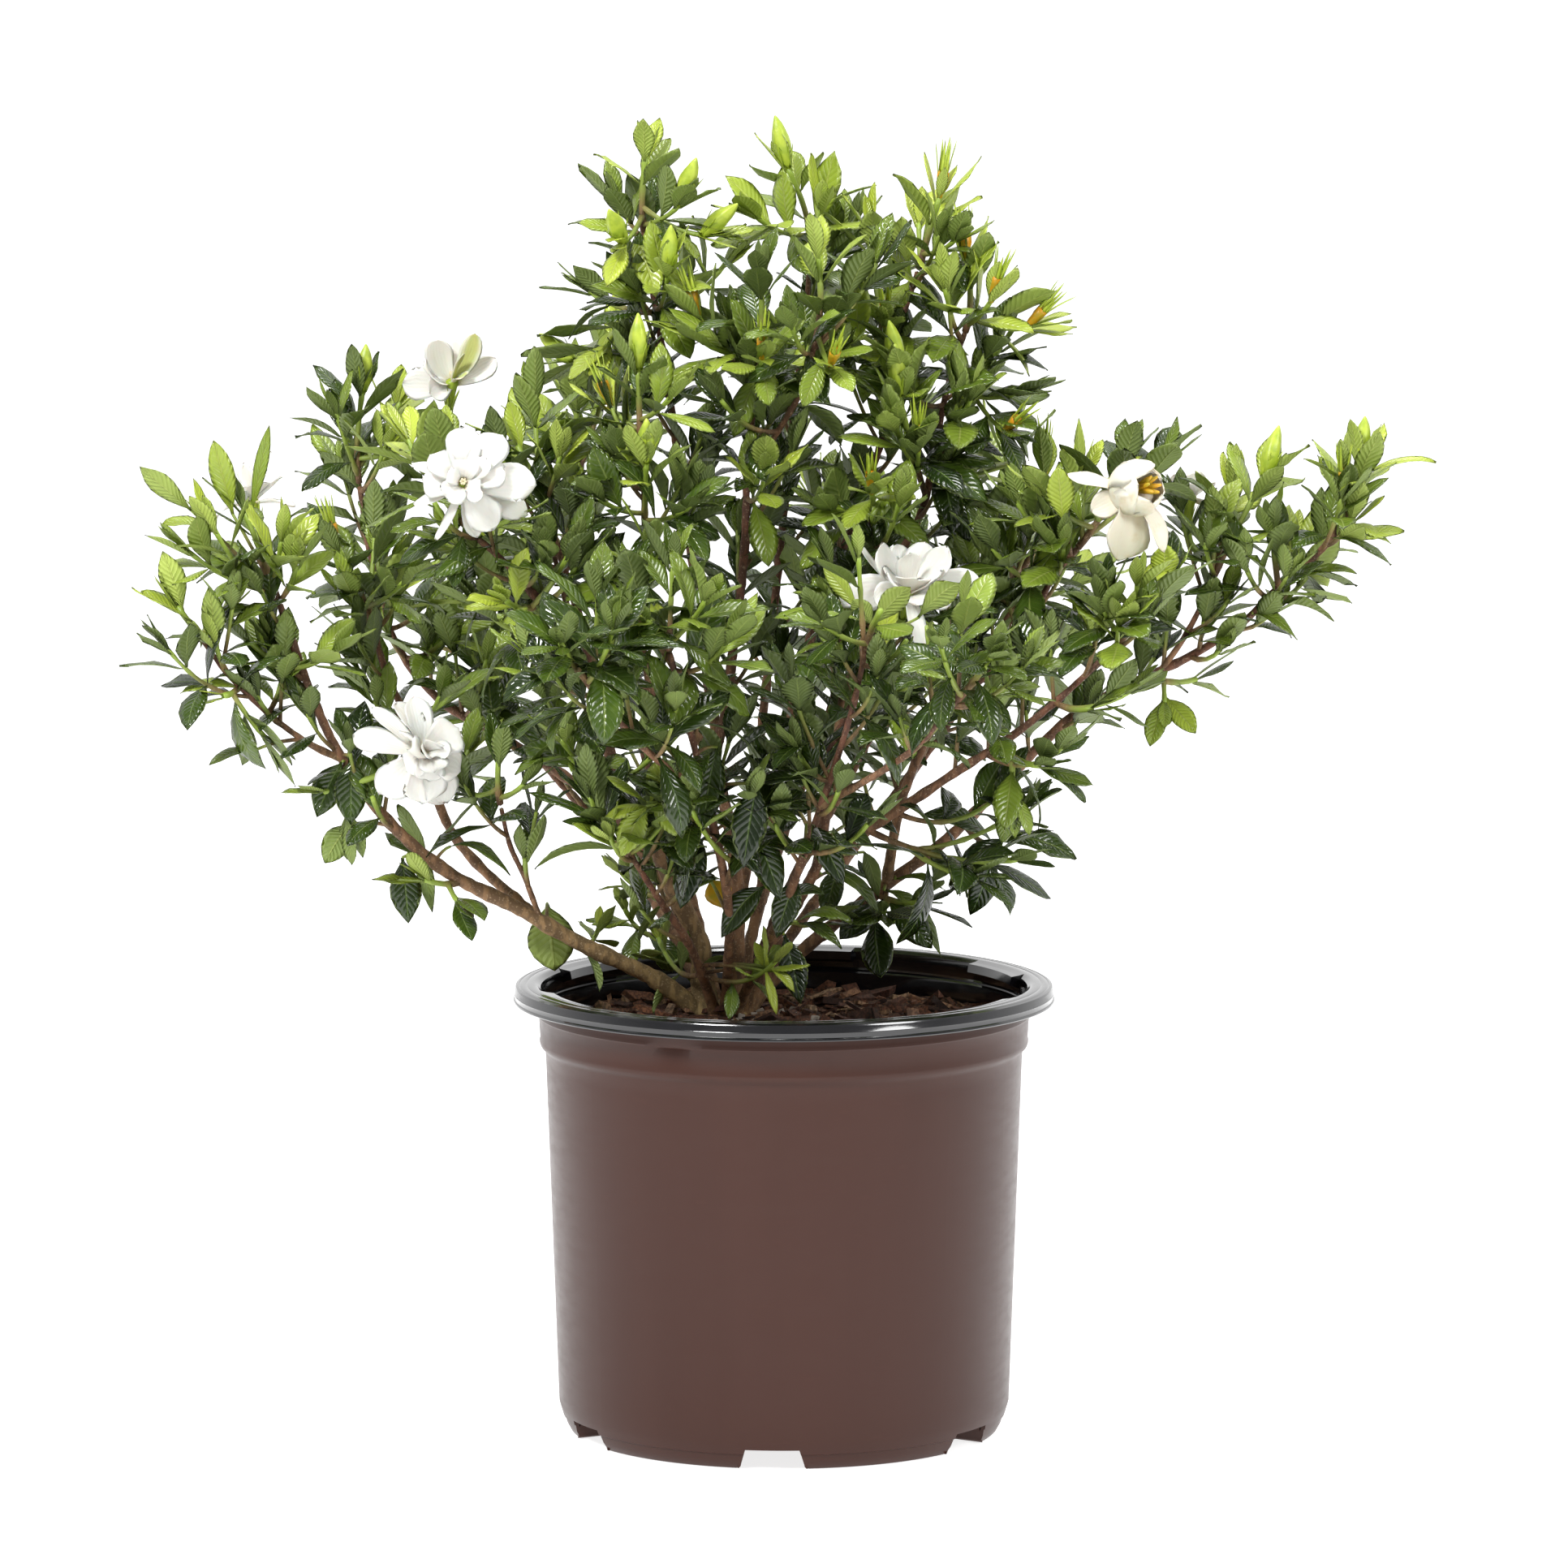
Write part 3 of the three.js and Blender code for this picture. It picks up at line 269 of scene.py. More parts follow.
class Nodes:
    """Short calls for the nodes of a material or of the world.
    Three numbers are a colour as it looks on a screen, and n0 is a node's first input."""

    def __init__(self, holder):
        holder.use_nodes = True
        self.nodes, self.links = holder.node_tree.nodes, holder.node_tree.links

    def add(self, kind, modes=None, **inputs):
        made = self.nodes.new(kind)
        for key, value in (modes or {}).items():
            setattr(made, key, value)
        self.feed(made, **inputs)
        return made

    def feed(self, node, **inputs):
        for key, value in inputs.items():
            socket = node.inputs[int(key[1:]) if key[1:].isdigit() else key.replace("_", " ")]
            if isinstance(value, bpy.types.NodeSocket):
                self.links.new(value, socket)
            else:
                on_screen = isinstance(value, tuple) and len(value) == 3
                socket.default_value = colour(*value) if on_screen else value

    def math(self, operation, first, second=0.0):
        return self.add("ShaderNodeMath", {"operation": operation}, n0=first, n1=second).outputs[0]

    def plus(self, first, second):
        return self.math("ADD", first, second)

    def times(self, first, second):
        return self.math("MULTIPLY", first, second)

    def spread(self, value, low, high, to_low=0.0, to_high=1.0):
        """The value from low to high spread smoothly over another range"""
        return self.add("ShaderNodeMapRange", {"interpolation_type": "SMOOTHSTEP"}, Value=value,
                        From_Min=low, From_Max=high, To_Min=to_low, To_Max=to_high).outputs[0]


class Finish(Nodes):
    """A material with its shader, and calls for what its looks are made of"""

    def __init__(self, name, **settings):
        self.material = bpy.data.materials.new(name)
        super().__init__(self.material)
        self.nodes.clear()
        self.shader = self.add("ShaderNodeBsdfPrincipled", **settings)
        self.output = self.add("ShaderNodeOutputMaterial", Surface=self.shader.outputs[0])

    def looks(self, **inputs):
        self.feed(self.shader, **inputs)

    def ramp(self, value, stops):
        """The colour at a value, between stops that each have a place and a colour"""
        made = self.add("ShaderNodeValToRGB", Fac=value)
        elements = made.color_ramp.elements
        while len(elements) < len(stops):
            elements.new(0.5)
        for element, (where, paint) in zip(elements, stops.items()):
            element.position = where
            element.color = colour(*paint)
        return made.outputs[0]

    def mix(self, part, first, second):
        """One colour mixed with a part of another"""
        return self.add("ShaderNodeMix", {"data_type": "RGBA"}, n0=part, n6=first, n7=second).outputs[2]

    def painted(self, key):
        """The three numbers painted on the points under a name"""
        vector = self.add("ShaderNodeAttribute", {"attribute_name": key}).outputs["Vector"]
        return self.add("ShaderNodeSeparateXYZ", Vector=vector).outputs

    def speckle(self, scale, detail=3.0, stretch=(1, 1, 1)):
        """Noise that stays with the object"""
        where = self.add("ShaderNodeTexCoord").outputs["Object"]
        shaped = self.add("ShaderNodeMapping", Vector=where)
        shaped.inputs["Scale"].default_value = stretch
        made = self.add("ShaderNodeTexNoise", Vector=shaped.outputs[0], Scale=scale, Detail=detail)
        return made.outputs[0]

    def bump(self, height, distance, strength=1.0):
        made = self.add("ShaderNodeBump", Height=height, Distance=distance, Strength=strength)
        self.looks(Normal=made.outputs[0])

    def let_through(self, paint, part):
        """Lets some light through the shader, as leaves and petals do"""
        through = self.add("ShaderNodeBsdfTranslucent", Color=paint)
        mixed = self.add("ShaderNodeMixShader", Fac=part, n1=self.shader.outputs[0],
                         n2=through.outputs[0])
        self.feed(self.output, Surface=mixed.outputs[0])


LATERAL_VEINS = 11
VEIN_RAKE = 2.3


def leaf_finish(name, stops, vein, rim, roughness, vein_part, relief, through):
    """One side of the leaves: colour by freshness, a midrib, raked side veins and a pale rim"""
    made = Finish(name)
    across, along, _ = made.painted("place")
    fresh, chance, _ = made.painted("tone")
    side = made.math("ABSOLUTE", across)
    raked = made.math("SUBTRACT", made.times(along, LATERAL_VEINS), made.times(side, VEIN_RAKE))
    between = made.times(made.math("PINGPONG", raked, 0.5), 2.0)
    midrib = made.spread(side, 0.02, 0.09, 0.85, 0.0)
    veins = made.math("MAXIMUM", made.spread(between, 0.0, 0.22, vein_part, 0.0), midrib)
    cloud = made.speckle(90.0, 4.0)
    shade = made.plus(fresh, made.times(made.math("SUBTRACT", cloud, 0.5), 0.22))
    shade = made.plus(shade, made.times(made.math("SUBTRACT", chance, 0.5), 0.16))
    painted = made.mix(veins, made.ramp(shade, stops), made.ramp(fresh, vein))
    painted = made.mix(made.spread(side, 0.86, 1.0, 0.0, 0.55), painted, rim)
    made.looks(Base_Color=painted, Specular_IOR_Level=0.7,
               Roughness=made.spread(made.plus(fresh, cloud), 0.4, 1.3, *roughness))
    raised = made.plus(made.math("POWER", between, 0.6), made.times(midrib, -1.2))
    made.bump(made.plus(raised, made.times(made.speckle(420.0, 2.0), 0.5)), relief)
    made.let_through(made.mix(0.4, painted, (165, 190, 40)), through)
    return made.material


def leaf_finishes():
    upper = leaf_finish(
        "leaf_upper", {0.0: (26, 42, 13), 0.22: (62, 84, 22), 0.5: (138, 160, 54), 1.0: (186, 202, 68)},
        vein={0.0: (84, 108, 56), 1.0: (206, 216, 104)}, rim=(160, 178, 90),
        roughness=(0.12, 0.3), vein_part=0.14, relief=0.0003, through=0.18)
    under = leaf_finish(
        "leaf_under", {0.0: (96, 112, 58), 0.5: (140, 160, 78), 1.0: (184, 202, 92)},
        vein={0.0: (128, 146, 80), 1.0: (196, 210, 104)}, rim=(172, 190, 104),
        roughness=(0.46, 0.58), vein_part=0.35, relief=-0.0004, through=0.24)
    return [upper, under]


def stem_finish():
    """Olive-brown bark that turns red-brown on younger wood and green on shoots"""
    made = Finish("stem")
    fresh = made.painted("tone")[0]
    grain = made.speckle(260.0, 4.0, (1, 1, 0.35))
    blotch = made.speckle(900.0, 2.0)
    bark = made.ramp(fresh, {0.0: (160, 136, 88), 0.2: (136, 100, 70), 0.45: (108, 66, 48),
                             0.66: (132, 108, 66), 0.8: (128, 144, 58), 1.0: (142, 166, 60)})
    dark = made.mix(0.62, bark, (34, 24, 18))
    pale = made.mix(0.45, bark, (176, 158, 128))
    worn = made.mix(made.spread(grain, 0.42, 0.6, 0.85, 0.0), bark, dark)
    wood_only = made.spread(fresh, 0.55, 0.8, 1.0, 0.08)
    flecks = made.times(made.spread(blotch, 0.58, 0.7, 0.0, 0.9), wood_only)
    made.looks(Base_Color=made.mix(flecks, made.mix(wood_only, bark, worn), pale),
               Roughness=made.spread(fresh, 0.4, 1.0, 0.78, 0.42))
    made.bump(made.plus(grain, made.times(blotch, 0.4)), 0.0009, 0.7)
    return made.material


def bud_finish():
    """Flower buds and calyx lobes: yellow-green, orange where a flower has dropped"""
    made = Finish("bud", Roughness=0.38)
    fresh = made.painted("tone")[0]
    cloud = made.speckle(200.0, 3.0)
    base = made.ramp(fresh, {0.0: (226, 148, 26), 0.3: (214, 172, 40), 0.5: (164, 184, 54),
                             1.0: (190, 206, 74)})
    made.looks(Base_Color=made.mix(made.spread(cloud, 0.35, 0.65, 0.0, 0.5), base, (126, 156, 44)))
    made.bump(cloud, 0.0003)
    made.let_through((196, 210, 60), 0.12)
    return made.material


def petal_finish(name, aged=False):
    """Waxy white petals with faint lengthwise creases, cream at the throat and bruised when aged"""
    made = Finish(name, Roughness=0.46, Subsurface_Weight=0.12, Subsurface_Scale=0.002)
    across, along, _ = made.painted("place")
    greenish = made.painted("tone")[0]
    white, cream, throat = (238, 236, 230), (238, 224, 178), 0.24
    bruised_from, bruised = 0.62, 0.18
    if aged:
        white, cream, throat = (244, 237, 220), (232, 196, 104), 0.34
        bruised_from, bruised = 0.5, 0.6
    base = made.mix(made.spread(along, 0.02, throat, 0.8, 0.0), white, cream)
    middle = made.spread(made.math("ABSOLUTE", across), 0.3, 1.0, 1.0, 0.25)
    green = made.mix(middle, base, (190, 198, 84))
    base = made.mix(made.spread(greenish, 0.2, 0.9), base, green)
    cloud = made.speckle(120.0, 4.0)
    bruise = made.spread(cloud, bruised_from, 0.8, 0.0, bruised)
    made.looks(Base_Color=made.mix(bruise, base, (214, 186, 132)))
    crease = made.math("SINE", made.plus(made.times(across, 26.0), made.times(cloud, 9.0)))
    made.bump(made.plus(made.times(crease, 0.08), cloud), 0.0008, 0.5)
    made.let_through(white, 0.22)
    return made.material


def plastic_finish(name, paint, worn, roughness, gloss, coat):
    """Moulded plastic: faint streaks down the wall, scuffs and a fine grain"""
    made = Finish(name, Coat_Weight=coat, Coat_Roughness=0.07, Specular_IOR_Level=gloss)
    streaks = made.speckle(34.0, 4.0, (1, 1, 0.12))
    scuffs = made.speckle(60.0, 6.0, (1, 1, 3.5))
    base = made.mix(made.spread(streaks, 0.3, 0.75, 0.0, 0.28), paint, worn)
    base = made.mix(made.spread(scuffs, 0.62, 0.76, 0.0, 0.35), base, worn)
    made.looks(Base_Color=base, Roughness=made.spread(scuffs, 0.3, 0.75, roughness, roughness + 0.06))
    made.bump(made.speckle(1100.0, 2.0), 0.0001, 0.12)
    return made.material


def soil_finish():
    """Potting soil, its bark chips and a few pale bits, by the kind and chance painted on each"""
    made = Finish("soil", Roughness=0.92)
    kind, chance, _ = made.painted("tone")
    crumbs = made.speckle(520.0, 6.0)
    grains = made.add("ShaderNodeTexVoronoi", Scale=640.0).outputs["Distance"]
    earth = made.ramp(crumbs, {0.3: (34, 23, 17), 0.5: (84, 56, 38), 0.68: (150, 104, 68)})
    chip = made.ramp(chance, {0.0: (58, 36, 27), 0.4: (116, 72, 50), 0.75: (156, 104, 72),
                              1.0: (204, 168, 130)})
    fibres = made.speckle(700.0, 3.0, (1, 0.25, 1))
    chip = made.mix(made.spread(fibres, 0.4, 0.62, 0.6, 0.0), chip, (34, 22, 16))
    painted = made.mix(made.spread(kind, 0.2, 0.4), earth, chip)
    made.looks(Base_Color=made.mix(made.spread(kind, 0.7, 0.9), painted, (206, 194, 180)))
    made.bump(made.plus(crumbs, grains), 0.0016, 0.8)
    return made.material


# The pot

WALL = 1.8
POT_SIDES = 192

# Six drain channels: the turn of the first in degrees, their width at the roof and at the ground and
# their height, then the distances from the axis: where they start, how far the cut for them reaches
# and how far the ridge over them reaches inside the pot
CHANNEL = {"turn": -93, "top": 29, "foot": 33.5, "height": 11, "from": 62, "reach": 126,
           "ridge": 115.5}
# A drain hole through the roof of each channel: the ring is how far it is from the axis
DRAIN = {"radius": 6, "ring": 88, "heights": (6, 18), "sides": 24}
# The turn of the first of six lugs inside the lip, and how many degrees each of them takes
LUG = {"turn": 25, "angle": 24}
# The marks that the seam of the mould leaves, by turn and spread in degrees
DENT = {"turns": (64, 244), "spread": 6, "height": 225.5, "reach": 5, "depth": 1.6}
BLACK, BROWN = 0, 1

# Half of the pot cut through its axis, as radius and height: up the outside, round the lip and down
# the inside
FOOT = [(0, 0), (113, 0), (115.4, 0.1), (116.2, 0.8), (118.2, 4.4), (119.2, 8), (120.1, 8.5), (121, 11.4),
    (122.2, 15.5)]
BODY = [(122.6, 26), (128.7, 200), (129.1, 207.4), (130, 209.2), (131.6, 210.6), (132.1, 212),
    (132.2, 213.4), (131.9, 215), (132.3, 221), (132.6, 226.4), (133.5, 227.6), (133.4, 229.2),
    (133.2, 230.5), (133.4, 236.6)]
LIP = [(134, 237.3), (143.8, 237.5), (144.4, 236.9), (144.5, 234.9), (145, 234.4), (145.9, 234.4),
    (146.4, 235), (146.3, 235.8), (145.7, 236.3), (145.7, 238.4), (146, 238.8), (145.7, 239.2),
    (145.6, 241.9), (145, 243), (143.6, 243.5), (142.9, 243.2), (142.2, 243.6), (139.6, 243.9),
    (139, 243.6), (138.4, 243.9), (135.4, 244)]
INSIDE = [(134, 243.8), (133, 243), (131.6, 242), (131.2, 240.6), (131.2, 237.4), (131.2, 236),
    (131.2, 233), (130.4, 232), (130.9, 231.4), (129.4, 230.2), (129.2, 229), (127.2, 208), (119.4, 13.8),
    (117.4, 8.5), (114.3, 1.8), (0, 1.8)]
# Where a lug is, these points of INSIDE lie here
LUG_POINTS = {1: (131, 243), 2: (130.2, 242.9), 3: (127, 242.4), 4: (126, 238), 5: (131.1, 236)}


def around(angle, turn):
    """How many degrees an angle is from the nearest of the six places round the pot"""
    return (angle - turn + 30) % 60 - 30


def pot_angles():
    """Even steps round the pot, and a step at each edge of a lug"""
    edges = [LUG["turn"] + 60 * k + side * (LUG["angle"] / 2 + push)
             for k in range(6) for side in (-1, 1) for push in (-0.05, 0.05)]
    return sorted({round(a % 360, 3) for a in [*np.arange(0, 360, 360 / POT_SIDES), *edges]})


def build_pot(finishes):
    shape = Shape()
    angles = pot_angles()
    count = len(angles)
    profile = FOOT + BODY + LIP + INSIDE
    inside = len(profile) - len(INSIDE)
    points, places, faces, finish = [], [], [], []
    for k, (radius, height) in enumerate(profile):
        for angle in angles if radius else [0]:
            r, z = radius, height
            if k - inside in LUG_POINTS and abs(around(angle, LUG["turn"])) < LUG["angle"] / 2:
                r, z = LUG_POINTS[k - inside]
            if len(FOOT) <= k < inside:
                r += dent(angle, z)
            turn = radians(angle)
            points.append([r * cos(turn), r * sin(turn), z])
            places.append([angle / 360, z / 100, 0])
    start = 0
    for k in range(len(profile) - 1):
        near, far = (count if profile[end][0] else 1 for end in (k, k + 1))
        for a in range(count):
            b = (a + 1) % count
            low = [start + a, start + b] if near > 1 else [start]
            high = [start + near + b, start + near + a] if far > 1 else [start + near]
            faces.append(low + high)
            finish.append(BROWN if k < inside - len(LIP) else BLACK)
        start += near
    shape.add(np.array(points), faces, finish, np.array(places), (0, 0.5, 0))
    piece = shape.build("pot_shell", finishes, ["pot"], sharp=38)
    cut(piece, [channel_block(k, WALL, CHANNEL["ridge"]) for k in range(6)], "UNION")
    hollows = [channel_block(k, 0, CHANNEL["reach"]) for k in range(6)] + [drain(k) for k in range(6)]
    cut(piece, hollows, "DIFFERENCE")


def block(ends, k):
    """The corners and faces of a block between two alike ends, at the place k of the channels"""
    sides = len(ends) // 2
    faces = [range(sides)[::-1], range(sides, 2 * sides)]
    faces += [(a, (a + 1) % sides, sides + (a + 1) % sides, sides + a) for a in range(sides)]
    turn = radians(CHANNEL["turn"] + 60 * k)
    return [turned(np.array(corner, float), UP, turn) for corner in ends], faces


def channel_block(k, skin, reach):
    """A drain channel between two feet, wider at the ground, as a block bigger all round by skin"""
    top, foot, high = CHANNEL["top"] / 2 + skin, CHANNEL["foot"] / 2 + skin, CHANNEL["height"] + skin
    right = [(foot + 3, -5), (foot + 3, 0), (foot + 1.2, 0.4), (foot + 0.3, 1.3), (foot, 3), (top, high)]
    if skin:
        right = [(foot, 0.05), (top, high)]
    corners = right + [(-across, z) for across, z in right[::-1]]
    return block([(r, across, z) for r in (CHANNEL["from"] - skin, reach) for across, z in corners], k)


def drain(k):
    """A drain hole through the roof of a channel"""
    steps = [2 * pi * a / DRAIN["sides"] for a in range(DRAIN["sides"])]
    return block([(DRAIN["ring"] + DRAIN["radius"] * cos(a), DRAIN["radius"] * sin(a), z)
                  for z in DRAIN["heights"] for a in steps], k)


def cut(piece, blocks, operation):
    """Joins blocks to a piece or takes them out of it"""
    points, faces = [], []
    for corners, sides in blocks:
        faces += [[len(points) + k for k in side] for side in sides]
        points += [list(corner * MM) for corner in corners]
    mesh = bpy.data.meshes.new("cutter")
    mesh.from_pydata(points, [], faces)
    for material in piece.data.materials:
        mesh.materials.append(material)
    mesh.polygons.foreach_set("material_index", [BROWN] * len(faces))
    tool = put("cutter", mesh)
    change = piece.modifiers.new("cut", "BOOLEAN")
    change.operation = operation
    change.solver = "EXACT"
    change.object = tool
    change.use_self = True
    graph = bpy.context.evaluated_depsgraph_get()
    changed = bpy.data.meshes.new_from_object(piece.evaluated_get(graph))
    piece.modifiers.clear()
    piece.data = changed
    bpy.data.objects.remove(tool)


def dent(angle, height):
    """The two marks that the mould's seam leaves below the lip"""
    off = min(abs((angle - turn + 180) % 360 - 180) for turn in DENT["turns"])
    near = max(0.0, 1 - (off / DENT["spread"]) ** 2)
    return -DENT["depth"] * (near * max(0.0, 1 - ((height - DENT["height"]) / DENT["reach"]) ** 2))


# The soil

SOIL_TOP = 221
SOIL_REACH = 130.2
SOIL_RINGS, SOIL_SIDES = 52, 150
CROWN = (-32, 233, 18)
CHIPS = 520
PALE_BITS = 34
AXES = np.eye(3)


def soil_height(x, y):
    """The top of the soil: crumbs, hollows and a mound round the crown"""
    crown = seen(CROWN)
    mound = 5.5 * exp(-((x - crown[0]) ** 2 + (y - crown[1]) ** 2) / 900)
    rough = 2.6 * noise.noise(Vector((x / 26, y / 26, 0.3)))
    rough += 1.5 * noise.noise(Vector((x / 7, y / 7, 4.1)))
    fine = 0.8 * noise.noise(Vector((x / 2.6, y / 2.6, 9.7)))
    return SOIL_TOP - 0.6 + mound + rough + fine


def build_soil(finish):
    shape = Shape()
    rings, sides = SOIL_RINGS, SOIL_SIDES
    floor = CHANNEL["height"] + WALL + 0.3
    points = [[0, 0, soil_height(0, 0)]]
    for radius, height in [*((SOIL_REACH * ring / rings - 1.2, None) for ring in range(1, rings + 1)),
                           (127, 206), (118.6, floor)]:
        for k in range(sides):
            x, y = radius * cos(2 * pi * k / sides), radius * sin(2 * pi * k / sides)
            points.append([x, y, height or soil_height(x, y)])
    points.append([0, 0, floor])
    faces = [[0, 1 + k, 1 + (k + 1) % sides] for k in range(sides)]
    for ring in range(rings + 1):
        first = 1 + ring * sides
        faces += [[first + k, first + sides + k, first + sides + (k + 1) % sides, first + (k + 1) % sides]
                  for k in range(sides)]
    last = 1 + (rings + 1) * sides
    faces += [[last + k, len(points) - 1, last + (k + 1) % sides] for k in range(sides)]
    points = np.array(points)
    shape.add(points, faces, 0, points / 100, (0, 0.5, 0))
    draw = np.random.default_rng(7)
    for k in range(CHIPS + PALE_BITS):
        add_chip(shape, k, draw)
    shape.build("soil_top", [finish], ["soil"], sharp=40)


def add_chip(shape, k, draw):
    """A bark chip, or one of the pale bits, lying askew on the soil"""
    pale = k >= CHIPS
    size = draw.uniform(1.8, 4.2, 3) if pale else draw.uniform((6, 3, 1.4), (24, 9, 4.6))
    if not pale and k % 3:
        size = size * 0.55
    distance = (SOIL_REACH - 8) * sqrt((k % CHIPS + 0.5) / CHIPS)
    x, y = distance * cos(k * GOLDEN_ANGLE), distance * sin(k * GOLDEN_ANGLE)
    corners = np.array([[a, b, c] for a in (-0.5, 0.5) for b in (-0.5, 0.5) for c in (-0.5, 0.5)])
    corners = (corners + draw.uniform(-0.16, 0.16, (8, 3))) * size
    angles = draw.normal(0, 0.35), draw.normal(0, 0.3), draw.uniform(0, 2 * pi)
    for axis, angle in zip(AXES, angles):
        corners = np.array([turned(corner, axis, angle) for corner in corners])
    corners += [x, y, soil_height(x, y) + 0.35 * size[2]]
    faces = [[0, 1, 3, 2], [4, 6, 7, 5], [0, 4, 5, 1], [2, 3, 7, 6], [0, 2, 6, 4], [1, 5, 7, 3]]
    shape.add(corners, faces, 0, corners / 100, (1.0 if pale else 0.5, draw.uniform(), 0))


# The woody limbs

# Each limb starts at the crown or on another limb (name, number of its point) and runs through the
# listed places. Its radius goes from the first to the second number.
LIMBS = {
    "left": (None, (4.8, 1.8), [(-72, 247, 5), (-110, 265, -8), (-145, 285, -18), (-180, 303, -28),
        (-212, 330, -36), (-236, 362, -42), (-251, 392, -45), (-263, 425, -46), (-272, 452, -46)]),
    "farLeft": (("left", 6.1), (1.8, 1.3), [(-256, 374, -50), (-275, 388, -56), (-297, 409, -62),
        (-313, 430, -66)]),
    "leftInner": (("left", 2.5), (3, 1.6), [(-148, 292, -2), (-166, 309, 8), (-180, 327, 16),
        (-190, 352, 22), (-202, 385, 26), (-214, 412, 28), (-222, 440, 28)]),
    "leftTwig": (("left", 2.6), (1.6, 1.1), [(-140, 301, -26), (-148, 319, -30), (-153, 341, -33)]),
    "backLeft": (None, (4, 1.5), [(-56, 282, 55), (-80, 318, 82), (-110, 350, 102), (-150, 376, 118),
        (-188, 400, 128), (-212, 435, 134), (-222, 475, 136), (-228, 515, 132)]),
    "trunkLeft": (None, (6.4, 1.5), [(-46, 264, 14), (-57, 290, 8), (-70, 320, 2), (-88, 350, -4),
        (-97, 382, -8), (-103, 412, -10), (-112, 450, -12), (-122, 480, -14)]),
    "middle": (None, (4.3, 1.5), [(-25, 280, 4), (-28, 320, -3), (-34, 350, -7), (-37, 368, -8),
        (-31, 392, -7), (-28, 420, -5), (-24, 450, -3), (-21, 482, -1), (-20, 516, 1), (-17, 550, 2),
        (-14, 575, 2)]),
    "diagonal": (("middle", 4), (3.4, 1.5), [(-53, 384, -18), (-68, 399, -28), (-90, 417, -38),
        (-112, 436, -46), (-132, 452, -52), (-152, 474, -56), (-166, 486, -58)]),
    "leftRiser": (("diagonal", 2.2), (2, 1.3), [(-76, 428, -42), (-76, 460, -48), (-75, 500, -50),
        (-77, 540, -50)]),
    "leftFork": (("diagonal", 4.1), (1.6, 1.2), [(-119, 458, -40), (-125, 482, -36), (-130, 503, -34)]),
    "highLeft": (("middle", 4.3), (3, 1.4), [(-44, 430, 28), (-50, 480, 40), (-57, 530, 45),
        (-64, 580, 45), (-71, 622, 42), (-75, 650, 40)]),
    "centreFork": (("middle", 9), (1.8, 1.3), [(-10, 532, -6), (0, 548, -14), (10, 566, -20),
        (17, 592, -24)]),
    "rightCentre": (None, (3.9, 1.5), [(-8, 262, 8), (6, 286, 2), (18, 308, -4), (22, 331, -10),
        (22, 358, -16), (28, 377, -20), (38, 397, -25), (48, 417, -30), (51, 436, -32)]),
    "rightInner": (("rightCentre", 6), (1.8, 1.2), [(31, 397, -10), (36, 425, -2), (42, 455, 4),
        (46, 485, 0)]),
    "rightLow": (None, (3.9, 1.5), [(-2, 250, 26), (25, 274, 36), (55, 297, 46), (88, 322, 56),
        (112, 346, 62), (135, 370, 66), (160, 392, 68), (190, 408, 66), (216, 420, 64), (245, 438, 62),
        (262, 455, 60), (282, 472, 58), (298, 489, 56)]),
    "rightRise": (("rightLow", 8.5), (1.8, 1.3), [(215, 431, 58), (224, 448, 54), (230, 462, 52)]),
    "rightMain": (("rightCentre", 3.4), (3.2, 1.4), [(42, 326, -20), (68, 342, -30), (95, 360, -38),
        (120, 376, -43), (142, 393, -46), (160, 409, -47), (178, 426, -47)]),
    "rightBack": (None, (3.4, 1.4), [(5, 300, 62), (32, 350, 86), (55, 393, 96), (80, 422, 98),
        (108, 447, 96), (126, 466, 92)]),
    "rightMid": (("rightLow", 3), (3, 1.4), [(64, 345, 28), (84, 390, 12), (104, 407, 4), (122, 421, 0),
        (133, 440, -5), (144, 463, -8), (158, 480, -11)]),
    "highRight": (None, (3.2, 1.4), [(-8, 320, 50), (4, 390, 66), (20, 450, 68), (40, 500, 64),
        (54, 545, 60), (60, 590, 56), (72, 630, 50)]),
    "highRightFork": (("highRight", 2.2), (2.8, 1.4), [(28, 425, 45), (55, 465, 38), (74, 500, 34),
        (82, 540, 32), (89, 572, 31), (97, 596, 30)]),
    "centreBack": (None, (3.2, 1.4), [(-18, 330, 85), (-8, 420, 108), (0, 500, 114), (6, 560, 112),
        (12, 610, 106), (14, 640, 100)]),
    "backLimbA": (None, (3.2, 1.5), [(-58, 320, 110), (-85, 395, 155), (-104, 460, 172),
        (-112, 520, 170)]),
    "backLimbB": (None, (3.2, 1.5), [(-5, 310, 135), (24, 390, 190), (40, 460, 212)]),
    "backLimbC": (None, (3.6, 1.5), [(40, 320, 128), (92, 390, 172), (124, 450, 188)]),
    "backLimbD": (None, (3.6, 1.5), [(-84, 310, 125), (-135, 370, 178), (-168, 425, 200)]),
    "frontLimbA": (None, (3, 1.3), [(-50, 262, -25), (-68, 290, -56), (-82, 312, -78)]),
    "frontLimbB": (None, (3, 1.4), [(-30, 285, -50), (-42, 345, -95), (-54, 395, -125),
        (-62, 425, -138)]),
    "frontLimbC": (None, (2.8, 1.4), [(0, 285, -45), (20, 340, -95), (36, 390, -130), (44, 425, -146)]),
    "frontLimbD": (("frontLimbB", 2), (2.2, 1.3), [(-76, 372, -145), (-104, 405, -178)]),
    "frontLimbE": (("frontLimbC", 2), (2.2, 1.3), [(66, 368, -145), (94, 398, -178)]),
}
CROWN_RADIUS = 19
# The root stock as height and radius
STOCK = [(160, 15), (205, 17.5), (216, 18.5), (221, 18), (225, 15.5), (228, 11), (230.5, 5)]
STOCK_STEPS = 18
